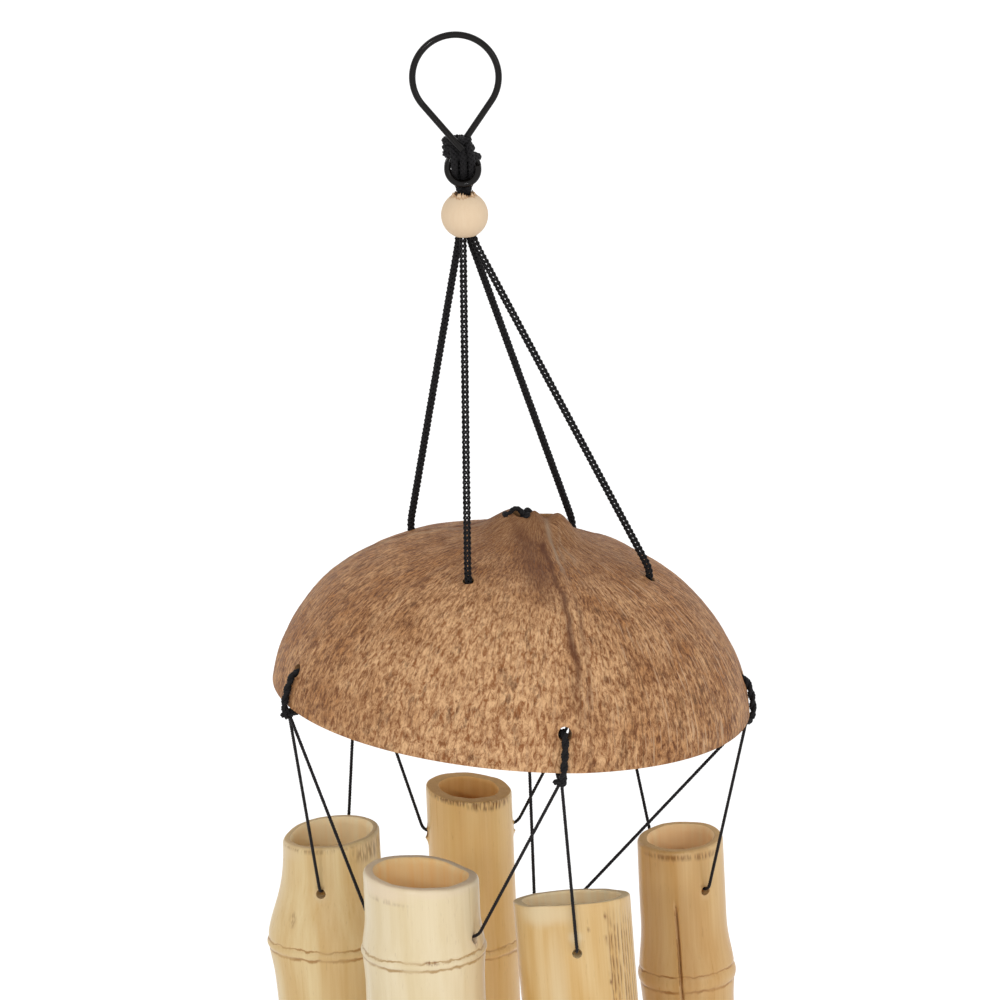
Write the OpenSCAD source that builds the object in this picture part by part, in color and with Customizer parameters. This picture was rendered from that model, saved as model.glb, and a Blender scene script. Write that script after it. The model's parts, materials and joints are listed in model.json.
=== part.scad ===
// Bamboo wind chime: a half coconut shell hung by four braided cords from a wire hook,
// with five bamboo tubes on threads round its rim and a striker hung from its crown.
// Millimetres. The origin is where the hook rests on its nail, +Z is up and -Y is the front.

/* [Hook] */
// Diameter of the hook wire
wire_d = 1.75; // [1.2:0.05:2.2]
// Inside radius of the hanging loop
loop_in_r = 10.2; // [8:0.1:16]
// Depth of the wire's crossing below the round of the loop
neck_drop = 5.4; // [4:0.2:9]
// Inside radius of the eye below the crossing
eye_in_r = 3.1; // [2.8:0.1:4.5]
// Depth of the eye's top below the crossing
eye_drop = 3.6; // [3.2:0.1:6]

/* [Hanger] */
// Diameter of the braided hanger cord
cord_d = 2.2; // [1.6:0.1:3]
// Width of the hitch that ties the cord to the hook
hitch_w = 10.6; // [9:0.2:14]
// Diameter of the wooden bead
bead_d = 12.2; // [10:0.2:18]
// Depth of the shell's widest level below the middle of the bead
shell_drop = 133.8; // [110:1:180]
// Distance of the cord holes from the shell's axis
hanger_hole_r = 32.5; // [24:0.5:42]
// Diameter of the stop knots under the shell
stop_knot_d = 5.6; // [4.6:0.2:8]

/* [Coconut shell] */
// Radius of the nut at its widest level
shell_r = 66; // [56:1:80]
// Height of the round of the nut above its widest level
shell_h = 49; // [40:1:60]
// Thickness of the shell
shell_wall = 3.6; // [2.4:0.2:6]
// How far each of the three lobes stands off the axis, which sets how sharp the ridges are
lobe_off = 3; // [1:0.25:5]
// Height of the point where the ridges meet
crown_h = 4; // [0:0.5:8]
// Lean of the nut to its right side, in degrees
shell_lean = 8.4; // [0:0.2:12]
// Sideways offset of the nut from the hook
shell_x = 7.4; // [-10:0.2:12]
// Height of the saw cut above the widest level
saw_lift = 3.5; // [0:0.1:8]
// Tilt of the saw cut against the nut, in degrees
saw_roll = 2.2; // [-4:0.1:6]

/* [Rim ties] */
// Diameter of the holes round the rim
rim_hole_d = 3.6; // [3:0.1:5]
// Height of the rim holes above the saw cut
rim_hole_up = 9.6; // [7:0.2:14]
// Thickness of the doubled thread of a tie
tie_d = 2.1; // [1.4:0.1:2.4]
// Diameter of the knot of a tie
tie_knot_d = 3.8; // [3:0.1:5]

/* [Threads] */
// Diameter of the tube threads and the striker cord
thread_d = 0.95; // [0.6:0.05:1.4]
// Diameter of the thread holes in the tubes
tube_hole_d = 2.6; // [2.2:0.1:3.4]

/* [Left rear tube] */
// Diameter at its top
left_rear_d = 26; // [20:0.5:32]
// Wall thickness
left_rear_wall = 2.4; // [1.6:0.1:4]
// Length
left_rear_len = 232; // [160:1:300]
// Depth of its holes below the rim
left_rear_drop = 56.6; // [45:1:80]

/* [Left front tube] */
// Diameter at its top
left_front_d = 30; // [22:0.5:34]
// Wall thickness
left_front_wall = 3.2; // [1.6:0.1:4]
// Length
left_front_len = 212; // [160:1:300]
// Depth of its holes below the rim
left_front_drop = 50.4; // [44:1:80]

/* [Rear tube] */
// Diameter at its top
rear_d = 23.6; // [18:0.5:30]
// Wall thickness
rear_wall = 3.8; // [1.6:0.1:4.5]
// Length
rear_len = 252; // [160:1:300]
// Depth of its holes below the rim
rear_drop = 53.8; // [45:1:80]

/* [Right front tube] */
// Diameter at its top
right_front_d = 30.4; // [22:0.5:32]
// Wall thickness
right_front_wall = 2.6; // [1.6:0.1:4]
// Length
right_front_len = 202; // [160:1:300]
// Depth of its holes below the rim
right_front_drop = 45.8; // [44:1:80]

/* [Right rear tube] */
// Diameter at its top
right_rear_d = 23; // [18:0.5:28]
// Wall thickness
right_rear_wall = 3; // [1.6:0.1:4]
// Length
right_rear_len = 226; // [160:1:300]
// Depth of its holes below the rim
right_rear_drop = 56.6; // [45:1:80]

/* [Striker] */
// Diameter of the wooden striker
striker_d = 40; // [28:1:46]
// Thickness of the striker
striker_t = 8; // [5:0.5:14]
// Depth of the striker below the shell's crown
striker_drop = 200; // [150:5:240]
// Diameter of the knots on the striker cord
cord_knot_d = 4.4; // [3.4:0.2:6]

/* [Wind catcher] */
// Width of the bamboo slat
catcher_w = 30; // [20:1:44]
// Height of the bamboo slat
catcher_h = 72; // [50:1:100]
// Thickness of the bamboo slat
catcher_t = 3; // [2:0.2:5]
// Length of the cord from the striker to the slat
catcher_drop = 160; // [120:5:220]

/* [Hidden] */
$fn = 64;

// Running gap between pieces that move on each other, and gap of a cord that lies on its seat
gap = 0.3;
snug = 0.2;

// Wire hook: the legs are tangent to the loop and cross above the eye
loop_r = loop_in_r + wire_d / 2;
neck_z = -2 * loop_in_r - neck_drop;
leg_angle = asin(loop_r / (-neck_z - loop_in_r));
eye_r = eye_in_r + wire_d / 2;
eye_z = neck_z - eye_drop - eye_r;
eye_entry = 180 - asin(eye_r / (neck_z - eye_z));
eye_turns = 1.5;
wire_clear = 0.45;
wire_pitch = wire_d + wire_clear;
wire_tail = 2;
wire_sides = 12;

// Hanger: the ball of cord under the hitch is the point that everything below swings from, and
// four strands of cord fill the hole of the bead
ball_d = 2.2 * cord_d;
ball_clear = 1.2;
swing_z = eye_z - eye_r - wire_d / 2 - ball_clear;
strand_gap = 0.06;
strand_off = cord_d / sqrt(2) + strand_gap;
bead_hole_d = 2 * strand_off + cord_d + 2 * strand_gap;
bead_half_h = sqrt(pow(bead_d / 2, 2) - pow(bead_hole_d / 2, 2));
bead_z = swing_z - bead_half_h - ball_clear;
// Cord holes in the shell: azimuth, and how far each lies outside hanger_hole_r
hanger_az = [240, 346, 68, 150];
hanger_out = [0, 0, 0, 3.5];
strand_az = [for (i = [0:3]) 246 + 90 * i];
cord_hole_d = cord_d + 0.8;

// Hitch: tilt of its two wraps, and how far the upper one is drawn in
wrap_tilt = [12, -10];
wrap_nip = 0.5;

// Shell: three lobes face these ways, and the ridges lie between them
lobe_az = [225, 345, 105];
crown_r = 26;
dome_bands = 14;
shell_at = [shell_x, 0, bead_z - shell_drop];
crown_hole_at = [-3.5, -1];
crown_hole_d = 2.6;
// Eye of thread beside the crown's knot: its radius, its distance and its turn
crown_eye_r = 1.7;
crown_eye_off = 3.1;
crown_eye_turn = 80;

// Rim ties, in the order left, front, right, rear right, rear left
tie_az = [200.6, 280.5, 358, 64, 132];
tie_sides = 8;
// The ends of a tie run into its knot, to this share of the knot's width from its middle
tie_sink = 0.31;

// Tubes: the two ties that carry each, its place along the line between them, how far it
// hangs inside that line, the turn of its holes, its lean along the line, how far the holes and
// the growth ring lie below its top, the sideways tilt and the backward nod of the saw cut at its
// top, and the swelling of its ring and its foot
tube_ties = [[4, 0], [0, 1], [3, 4], [1, 2], [2, 3]];
tube_share = [0.496, 0.47, 0.584, 0.196, 0.5];
tube_inset = [0, 0, 0, 10, 0];
tube_turn = [0, 0, 0, 41, 0];
tube_lean = [0, 0, 0, 4, -2];
hole_down = [12, 15, 11.2, 8.4, 11.8];
ring_down = [30.2, 20.4, 45.2, 48, 38.5];
top_tilt = [4, -5, -6, -1, 0.5];
top_nod = [-1, 1, -2, 15.5, -4];
ring_swell = [2.2, 1, 0.5, 0.6, 1.3];
foot_swell = [1.5, 0.5, 0.2, 0.3, 0.9];
// Along a culm: where the swelling starts above its ring and ends below it, the two lips of the
// ring, and the partition with its dished faces
swell_up = [20, 10, 10, 10, 16];
swell_down = 9;
lip = 1.4;
ring_groove = 0.4;
partition_t = 3.4;
dish = 2;
// Branch buds on the rings: how far each stands out, its azimuth, its width and its height
bud_out = [1.9, 0, 0, 0, 0.9];
bud_az = [190, 0, 0, 0, -8];
bud_w = 9;
bud_h = 13;
bud_sunk = 0.6;
tube_d = [left_rear_d, left_front_d, rear_d, right_front_d, right_rear_d];
tube_wall = [left_rear_wall, left_front_wall, rear_wall, right_front_wall, right_rear_wall];
tube_len = [left_rear_len, left_front_len, rear_len, right_front_len, right_rear_len];
tube_drop = [left_rear_drop, left_front_drop, rear_drop, right_front_drop, right_rear_drop];
tube_tint = ["#DCC491", "#EADBB2", "#D1AC6B", "#DCBC82", "#CDA766"];
foot_cut = 38;
thread_sides = 8;
mouth_gap = 1.2;
hang_rise = (tube_hole_d - thread_d) / 2 - gap;

// Striker and wind catcher hang on one plumb line below the hole in the crown
slat_bend_r = 34;
slat_hole_d = 3;
slat_hole_down = 6;
slat_loop_r = slat_hole_down / 2 + 1.6;

// Vector helpers
function unit(v) = v / norm(v);
function heading(az) = [cos(az), sin(az), 0];
function lean(p, a) = [p.x * cos(a) + p.z * sin(a), p.y, -p.x * sin(a) + p.z * cos(a)];
function turn(p, a) = [p.x * cos(a) - p.y * sin(a), p.x * sin(a) + p.y * cos(a), p.z];
function in_world(p) = shell_at + lean(p, shell_lean);

// Height of the nut's outside over a point of its base, the way the outside faces there, and
// the wall's radius at a height
function lobe_at(az) = -lobe_off * [cos(az), sin(az)];
function dome_z(rho, inset) =
  (shell_h - inset) * sqrt(max(0, 1 - pow(rho / (shell_r - inset), 2)))
  + crown_h * pow(max(0, 1 - rho / crown_r), 2);
function top_z(xy, inset = 0) = min([for (a = lobe_az) dome_z(norm(xy - lobe_at(a)), inset)]);
function facing(xy) =
  let (dx = [1, 0], dy = [0, 1])
  unit([top_z(xy - dx) - top_z(xy + dx), top_z(xy - dy) - top_z(xy + dy), 2]);
function wall_r(az, z, inset = 0) =
  let (rho = (shell_r - inset) * sqrt(1 - pow(z / (shell_h - inset), 2)))
  min([for (a = lobe_az)
    sqrt(pow(rho, 2) - pow(lobe_off * sin(az - a), 2)) - lobe_off * cos(az - a)]);
function saw_z(az) = saw_lift + wall_r(az, saw_lift) * cos(az) * tan(saw_roll);

// Ties: the loop is drawn in the upright plane of its azimuth
function tie_knot_local(az) =
  (wall_r(az, saw_z(az)) - tie_d / 4) * heading(az) + [0, 0, saw_z(az) - tie_knot_d / 2 - snug];
function tie_knot(i) = in_world(tie_knot_local(tie_az[i]));

// Tubes: middle of the thread line inside each tube, the way that line points, and its ends
function chord(k) = tie_knot(tube_ties[k][1]) - tie_knot(tube_ties[k][0]);
function chord_az(k) = atan2(chord(k).y, chord(k).x);
function tube_hang(k) =
  tie_knot(tube_ties[k][0]) + tube_share[k] * chord(k)
  + tube_inset[k] * heading(chord_az(k) + 90) - [0, 0, tube_drop[k]];
function hole_az(k) = chord_az(k) + tube_turn[k];
function hole_dir(k) = turn(lean(heading(tube_turn[k]), -tube_lean[k]), chord_az(k));
function mouth(k, side) = tube_hang(k) + side * (tube_d[k] / 2 + mouth_gap) * hole_dir(k);

// Hanger: where each cord leaves the bead, where it turns into its hole, and its stop knot. The
// holes are drilled square to the shell.
function strand_end(i) = strand_off * heading(strand_az[i]) + [0, 0, bead_z - bead_half_h];
function hole_xy(i) = (hanger_hole_r + hanger_out[i]) * [cos(hanger_az[i]), sin(hanger_az[i])];
function cord_hole(i) = in_world([hole_xy(i).x, hole_xy(i).y, top_z(hole_xy(i))]);
function hole_way(i) = lean(facing(hole_xy(i)), shell_lean);
function cord_turn(i) = cord_hole(i) + (cord_d / 2 + gap) * hole_way(i);
function stop_knot_at(i) = cord_hole(i) - (shell_wall + gap + stop_knot_d / 2) * hole_way(i);

// Striker line
crown_hole = in_world([crown_hole_at.x, crown_hole_at.y, top_z(crown_hole_at)]);
crown_knot_z = crown_hole.z + cord_knot_d / 2 + gap;
striker_z = crown_hole.z - striker_drop;
striker_knot_z = striker_z - striker_t / 2 - cord_knot_d / 2 - gap;
catcher_knot_z = striker_knot_z - catcher_drop;
catcher_top_z = catcher_knot_z - cord_knot_d / 2 - snug;

// A round tube of the given thickness along a list of points. side is a direction that the
// path never runs along, so that the rings do not twist.
function path_way(p, i) = unit(p[min(i + 1, len(p) - 1)] - p[max(i - 1, 0)]);
function ring_points(at, way, side, r, n) =
  let (b = unit(cross(way, side)), c = cross(b, way))
  [for (j = [0:n - 1]) at + r * (cos(360 * j / n) * b + sin(360 * j / n) * c)];
module rope(p, d, side, n) {
  m = len(p);
  points = [for (i = [0:m - 1]) each ring_points(p[i], path_way(p, i), side, d / 2, n)];
  walls = [for (i = [0:m - 2]) for (j = [0:n - 1])
    let (a = i * n + j, b = i * n + (j + 1) % n) each [[a, b, a + n], [b, b + n, a + n]]];
  ends = [for (j = [1:n - 2]) each [[0, j + 1, j], [(m - 1) * n, (m - 1) * n + j, (m - 1) * n + j + 1]]];
  polyhedron(points, concat(walls, ends));
}

// Route of the hook wire, from its cut end over the loop and round the eye
function hook_arc_point(a) = [loop_r * cos(a), 0, -loop_in_r + loop_r * sin(a)];
function hook_eye_point(a) =
  [eye_r * cos(a), wire_pitch / 2 - wire_pitch * (a - eye_entry) / 360, eye_z + eye_r * sin(a)];
loop_steps = 34;
eye_steps = 30;
hook_route = concat(
  [
    [wire_tail * sin(leg_angle), -wire_pitch / 2, neck_z - wire_tail * cos(leg_angle)],
    [0, -wire_pitch / 2, neck_z]
  ],
  [for (i = [0:loop_steps])
    hook_arc_point(180 + leg_angle - i * (180 + 2 * leg_angle) / loop_steps)],
  [[0, wire_pitch / 2, neck_z]],
  [for (i = [0:eye_steps]) hook_eye_point(eye_entry + i * 360 * eye_turns / eye_steps)]
);
eye_route = [for (i = [0:eye_steps * 4]) hook_eye_point(eye_entry + i * 90 * eye_turns / eye_steps)];
one_turn = floor(eye_steps * 4 / eye_turns);
eye_gap = min([for (i = [0:len(eye_route) - 1]) for (j = [i + floor(one_turn / 2):1:len(eye_route) - 1])
  norm(eye_route[i] - eye_route[j])]) - wire_d;
echo(str("least gap of the hook wire to itself in its eye, mm: ", eye_gap));

module wire_hook() {
  color("#17171A") rope(hook_route, wire_d, [0, 1, 0], wire_sides);
}

// Hitch: two wraps of cord round the neck of the wire, drawn through the eye to a ball
module hitch() {
  wrap_r = (hitch_w - cord_d) / 2;
  wrap_z = neck_z - cord_d;
  color("#1B1A1C") {
    for (i = [0, 1])
      translate([0, 0, wrap_z - i * cord_d])
        rotate([0, wrap_tilt[i], 0])
          rotate_extrude() translate([wrap_r - (1 - i) * wrap_nip, 0]) circle(d = cord_d);
    translate([0, 0, eye_z]) cylinder(r = wrap_r - wrap_nip, h = wrap_z - eye_z + wrap_nip);
    translate([0, 0, swing_z]) cylinder(d = ball_d, h = eye_z - swing_z + wrap_nip);
    translate([0, 0, swing_z]) sphere(d = ball_d);
  }
}

// Bead: a turned ball drilled for four strands of cord
module bead() {
  color("#EACFAE")
    translate([0, 0, bead_z])
      difference() {
        sphere(d = bead_d, $fn = 96);
        cylinder(d = bead_hole_d, h = bead_d, center = true);
      }
}

module hanger_cord(i) {
  top = strand_off * heading(strand_az[i]) + [0, 0, swing_z - ball_d / 2 - gap];
  color("#1B1A1C")
    rope([top, strand_end(i), cord_turn(i), stop_knot_at(i) + hole_way(i) * (stop_knot_d / 2 + snug)],
      cord_d, heading(hanger_az[i] + 90), thread_sides);
}

module hanger_stop_knots() {
  color("#1B1A1C")
    for (i = [0:len(hanger_az) - 1])
      translate(stop_knot_at(i)) sphere(d = stop_knot_d);
}

// One lobe of the nut is a turned dome, and the nut is what all three lobes share
module lobe(inset) {
  rise = 90 / dome_bands;
  below = shell_h / 4;
  rotate_extrude($fn = 96)
    polygon(concat(
      [[0, -below], [shell_r - inset, -below]],
      [for (i = [0:dome_bands])
        let (rho = (shell_r - inset) * cos(i * rise)) [i == dome_bands ? 0 : rho, dome_z(rho, inset)]]
    ));
}

module nut(inset) {
  intersection_for(a = lobe_az)
    translate(lobe_at(a)) lobe(inset);
}

module coconut_shell() {
  reach = 2 * shell_r;
  color("#A87C53")
    difference() {
      translate(shell_at)
        rotate([0, shell_lean, 0])
          difference() {
            nut(0);
            nut(shell_wall);
            rotate([0, -saw_roll, 0])
              translate([-reach / 2, -reach / 2, saw_lift / cos(saw_roll) - shell_h])
                cube([reach, reach, shell_h]);
            for (az = tie_az)
              rotate([0, 0, az])
                translate([shell_r / 2, 0, saw_z(az) + rim_hole_up])
                  rotate([0, 90, 0]) cylinder(d = rim_hole_d, h = shell_r);
          }
      for (i = [0:len(hanger_az) - 1])
        translate(cord_hole(i))
          rotate([0, acos(hole_way(i).z), atan2(hole_way(i).y, hole_way(i).x)])
            cylinder(d = cord_hole_d, h = 6 * shell_wall, center = true);
      translate(crown_hole) cylinder(d = crown_hole_d, h = 6 * shell_wall, center = true);
    }
}

// Knot on the crown, with the eye of thread that stands beside it
module crown_knot() {
  color("#1B1A1C")
    translate([crown_hole.x, crown_hole.y, crown_knot_z]) {
      sphere(d = cord_knot_d);
      translate([-crown_eye_off, 0, 0])
        rotate([crown_eye_turn, 0, 0])
          rotate_extrude() translate([crown_eye_r, 0]) circle(d = 2 * thread_d);
    }
}

// Rim tie: up the outside, in through the hole, down the inside and under the edge to a knot
module rim_tie(i) {
  az = tie_az[i];
  edge = saw_z(az);
  hole = edge + rim_hole_up - (rim_hole_d - tie_d) / 2 + gap;
  off = tie_d / 2 + gap;
  half = (edge + hole) / 2;
  knot = [wall_r(az, edge) - tie_d / 4, edge - tie_knot_d / 2 - snug];
  loop = [
    [wall_r(az, edge) + off, edge - tie_d / 3],
    [wall_r(az, half) + off, half],
    [wall_r(az, hole) + off, hole - tie_d / 2],
    [wall_r(az, hole) + off / 2, hole],
    [wall_r(az, hole, shell_wall) - off / 2, hole],
    [wall_r(az, hole, shell_wall) - off, hole - tie_d / 2],
    [wall_r(az, half, shell_wall) - off, half],
    [wall_r(az, edge, shell_wall) - off, edge],
    [wall_r(az, edge, shell_wall) - off / 3, edge - off]
  ];
  sunk = tie_sink * tie_knot_d;
  ends = [for (p = [loop[0], loop[len(loop) - 1]]) knot + sunk * unit(p - knot)];
  color("#1B1A1C") {
    rope([for (p = concat([ends[0]], loop, [ends[1]])) in_world(p.x * heading(az) + [0, 0, p.y])],
      tie_d, lean(heading(az + 90), shell_lean), tie_sides);
    translate(tie_knot(i)) rotate(az + 90) sphere(d = tie_knot_d);
  }
}

// Tube thread: from one rim knot through both holes of its tube to the next knot
module tube_thread(k) {
  knots = [tie_knot(tube_ties[k][0]), tie_knot(tube_ties[k][1])];
  mouths = [mouth(k, -1), mouth(k, 1)];
  ways = [unit(mouths[0] - knots[0]), unit(mouths[1] - knots[1])];
  clear = tie_knot_d / 2 + gap;
  inward = mouth_gap * hole_dir(k);
  color("#242225")
    rope(
      [
        knots[0] + clear * ways[0], mouths[0] - mouth_gap * ways[0], mouths[0], mouths[0] + inward,
        mouths[1] - inward, mouths[1], mouths[1] - mouth_gap * ways[1], knots[1] + clear * ways[1]
      ],
      thread_d, heading(chord_az(k) + 90), thread_sides);
}

// Bamboo tube: a turned culm with its growth ring and the partition inside it, drilled for
// the thread, its top sawn a little askew and its foot sawn on a slant
module bamboo_tube(k) {
  top = hole_down[k] + hang_rise;
  ring = top - ring_down[k];
  foot = top - tube_len[k];
  top_r = tube_d[k] / 2;
  ring_r = top_r + ring_swell[k];
  foot_r = top_r + foot_swell[k];
  spare = tube_d[k] / 4;
  bore_r = top_r - tube_wall[k];
  foot_bore_r = foot_r - tube_wall[k];
  out_az = atan2(tube_hang(k).y - shell_at.y, tube_hang(k).x - shell_at.x);
  color(tube_tint[k])
    translate(tube_hang(k))
      rotate([0, 0, chord_az(k)])
        rotate([0, -tube_lean[k], 0])
          rotate([0, 0, -chord_az(k)])
            difference() {
              union() {
                rotate_extrude()
                  polygon([
                    [0, ring + partition_t - dish], [bore_r, ring + partition_t],
                    [bore_r, top + spare], [top_r, top + spare],
                    [top_r, ring + swell_up[k]], [top_r + 0.3 * ring_swell[k], ring + 0.6 * swell_up[k]],
                    [ring_r - 0.2 * ring_swell[k], ring + 2 * lip], [ring_r, ring + lip],
                    [ring_r - ring_groove, ring + lip / 3], [ring_r - ring_groove / 4, ring - lip / 2],
                    [foot_r + 0.3 * (ring_r - foot_r), ring - 2 * lip], [foot_r, ring - swell_down],
                    [foot_r, foot], [foot_bore_r, foot], [foot_bore_r, ring - 2 * dish], [0, ring - dish]
                  ]);
                if (bud_out[k] > 0)
                  rotate([0, 0, bud_az[k]])
                    translate([ring_r - bud_sunk, 0, ring + bud_h / 4])
                      scale([bud_out[k] + bud_sunk, bud_w / 2, bud_h / 2]) sphere(1, $fn = 24);
              }
              translate([0, 0, top])
                rotate([-top_nod[k], -top_tilt[k], 0])
                  translate([-tube_d[k], -tube_d[k], 0]) cube([2, 2, 1] * tube_d[k]);
              translate([0, 0, foot])
                rotate([0, 0, out_az])
                  translate([-foot_r, 0, 0])
                    rotate([0, -foot_cut, 0])
                      translate([0, -tube_d[k], -2 * tube_d[k]]) cube([3, 2, 2] * tube_d[k]);
              translate([0, 0, -hang_rise])
                rotate([0, 0, hole_az(k)])
                  rotate([0, 90, 0]) cylinder(d = tube_hole_d, h = 2 * tube_d[k], center = true);
            }
}

module plumb_rope(from, to) {
  color("#242225")
    rope([[crown_hole.x, crown_hole.y, from], [crown_hole.x, crown_hole.y, to]],
      thread_d, [0, 1, 0], thread_sides);
}

module striker_cord() {
  plumb_rope(crown_knot_z - cord_knot_d / 2 - gap, striker_knot_z + cord_knot_d / 2 + gap / 2);
}

// Striker: a turned wooden disc with a full round edge
module striker() {
  bore_r = thread_d / 2 + gap;
  flat_r = striker_d / 2 - striker_t / 2;
  color("#C79A63")
    translate([crown_hole.x, crown_hole.y, striker_z])
      difference() {
        union() {
          rotate_extrude() translate([flat_r, 0]) circle(d = striker_t);
          cylinder(r = flat_r, h = striker_t, center = true);
        }
        cylinder(r = bore_r, h = 2 * striker_t, center = true);
      }
}

module striker_knot() {
  color("#1B1A1C")
    translate([crown_hole.x, crown_hole.y, striker_knot_z]) sphere(d = cord_knot_d);
}

module catcher_cord() {
  plumb_rope(striker_knot_z - cord_knot_d / 2 - gap, catcher_knot_z + cord_knot_d / 2 + snug);
}

// Wind catcher: a slat split from a culm wall, round at its foot, hung by a hole near its top
module catcher() {
  foot_z = catcher_h - catcher_w / 2;
  color("#D6B679")
    translate([crown_hole.x, crown_hole.y, catcher_top_z])
      difference() {
        intersection() {
          translate([0, slat_bend_r - catcher_t / 2, -catcher_h])
            difference() {
              cylinder(r = slat_bend_r, h = catcher_h, $fn = 128);
              translate([0, 0, -1]) cylinder(r = slat_bend_r - catcher_t, h = catcher_h + 2, $fn = 128);
            }
          rotate([90, 0, 0])
            linear_extrude(slat_bend_r, center = true) {
              translate([-catcher_w / 2, -foot_z]) square([catcher_w, foot_z]);
              translate([0, -foot_z]) circle(d = catcher_w);
            }
        }
        translate([0, 0, -slat_hole_down])
          rotate([90, 0, 0]) cylinder(d = slat_hole_d, h = slat_bend_r, center = true);
      }
}

// Tie of the wind catcher: a ring of cord through the hole and over the top edge, with its knot
module catcher_tie() {
  loop_z = catcher_top_z - slat_hole_down + slat_loop_r - snug;
  color("#1B1A1C")
    translate([crown_hole.x, crown_hole.y, 0]) {
      translate([0, 0, loop_z])
        rotate([0, 90, 0]) rotate_extrude() translate([slat_loop_r, 0]) circle(d = 2 * thread_d);
      translate([0, 0, catcher_knot_z]) sphere(d = cord_knot_d);
    }
}

wire_hook();
hitch();
bead();
hanger_cord(0);  // hanger_cord_front_left
hanger_cord(1);  // hanger_cord_front_right
hanger_cord(2);  // hanger_cord_rear_right
hanger_cord(3);  // hanger_cord_rear_left
hanger_stop_knots();
coconut_shell();
crown_knot();
rim_tie(0);  // rim_tie_left
rim_tie(1);  // rim_tie_front
rim_tie(2);  // rim_tie_right
rim_tie(3);  // rim_tie_rear_right
rim_tie(4);  // rim_tie_rear_left
tube_thread(0);  // thread_left_rear
tube_thread(1);  // thread_left_front
tube_thread(2);  // thread_rear
tube_thread(3);  // thread_right_front
tube_thread(4);  // thread_right_rear
bamboo_tube(0);  // tube_left_rear
bamboo_tube(1);  // tube_left_front
bamboo_tube(2);  // tube_rear
bamboo_tube(3);  // tube_right_front
bamboo_tube(4);  // tube_right_rear
striker_cord();
striker();
striker_knot();
catcher_cord();
catcher();
catcher_tie();
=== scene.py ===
# %% [markdown]
# # Bamboo wind chime
# Half a coconut shell hangs on four braided cords from a wire hook. Five bamboo tubes hang on threads from its
# rim, round a wooden striker with a wind catcher below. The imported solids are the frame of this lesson: they
# give the places, the joints and the sizes. Each piece below is a fuller form of one solid, in the same place,
# and it rides on the same body. Shapes are worked out in millimetres and scaled to metres at the end.

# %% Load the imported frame
import json
import math

import bmesh
import bpy
import numpy as np
from mathutils import Matrix, Vector, noise


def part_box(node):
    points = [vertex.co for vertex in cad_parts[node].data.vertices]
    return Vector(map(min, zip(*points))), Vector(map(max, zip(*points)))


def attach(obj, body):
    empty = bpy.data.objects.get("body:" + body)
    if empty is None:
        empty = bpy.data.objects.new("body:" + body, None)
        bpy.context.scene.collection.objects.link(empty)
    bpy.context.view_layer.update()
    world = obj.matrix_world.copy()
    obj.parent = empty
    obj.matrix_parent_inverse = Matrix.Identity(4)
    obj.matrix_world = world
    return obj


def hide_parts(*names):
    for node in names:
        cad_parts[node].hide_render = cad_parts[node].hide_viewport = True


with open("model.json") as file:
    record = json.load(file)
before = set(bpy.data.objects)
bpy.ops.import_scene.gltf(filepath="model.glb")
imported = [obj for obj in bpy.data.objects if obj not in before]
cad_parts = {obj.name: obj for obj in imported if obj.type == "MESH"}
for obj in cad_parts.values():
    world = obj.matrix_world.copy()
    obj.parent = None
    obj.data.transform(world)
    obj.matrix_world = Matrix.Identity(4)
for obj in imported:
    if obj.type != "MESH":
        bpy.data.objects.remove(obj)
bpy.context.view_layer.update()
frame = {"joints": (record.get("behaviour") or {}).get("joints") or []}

MM = 0.001
joints = {joint["name"]: joint for joint in frame["joints"]}


def joint_at(name):
    """A joint's place in millimetres."""
    return Vector(joints[name]["pos_m"]) / MM


# %% [markdown]
# ## Camera
# The picture looks a little down on the chime, which hangs slightly turned in the frame. A long lens keeps the
# tubes almost parallel, as a product shot does. A camera could be aimed with a constraint, but its three
# directions are easy to write down, and then nothing can drift.

# %% Camera
PIXEL = 0.262  # mm of the object for each of the picture's 1000 pixels, at the aim point
DISTANCE = 1400
PITCH, ROLL = math.radians(15.75), math.radians(2.2)
aim = Vector((6.3, 0, -122.85))
level = Vector((1, 0, 0))
ahead = Vector((0, math.cos(PITCH), -math.sin(PITCH)))
above = Vector((0, math.sin(PITCH), math.cos(PITCH)))
camera_right = level * math.cos(ROLL) - above * math.sin(ROLL)
camera_up = level * math.sin(ROLL) + above * math.cos(ROLL)

lens = bpy.data.cameras.new("camera")
lens.sensor_width = 36
lens.lens = lens.sensor_width * DISTANCE / (1000 * PIXEL)
camera = bpy.data.objects.new("camera", lens)
bpy.context.collection.objects.link(camera)
stand = Matrix((camera_right, camera_up, -ahead)).transposed().to_4x4()
stand.translation = (aim - ahead * DISTANCE) * MM
camera.matrix_world = stand
bpy.context.scene.camera = camera
bpy.context.scene.view_settings.view_transform = "Standard"
print("lens", round(lens.lens, 1), "mm")

# %% [markdown]
# ## Light and background
# The chime was shot against white. The world and the floor show as white to the camera and in reflections,
# while the light that falls on the chime stays plain: a small key from the front left that gives the highlights,
# a broad soft lamp in front, a weaker fill from the right, and light from all round. One small function adds
# every node in this file.

# %% Node helpers, light and floor
def linear(code):
    """An sRGB hex colour as the linear RGBA that nodes take."""
    parts = [int(code[i:i + 2], 16) / 255 for i in (1, 3, 5)]
    return [c / 12.92 if c <= 0.04045 else ((c + 0.055) / 1.055) ** 2.4 for c in parts] + [1.0]


def feed(tree, node, inputs):
    """Sets a node's inputs. Each is a plain value, or another node's output to link."""
    for socket, value in inputs.items():
        if isinstance(value, bpy.types.NodeSocket):
            tree.links.new(value, node.inputs[socket])
        else:
            node.inputs[socket].default_value = value


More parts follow.
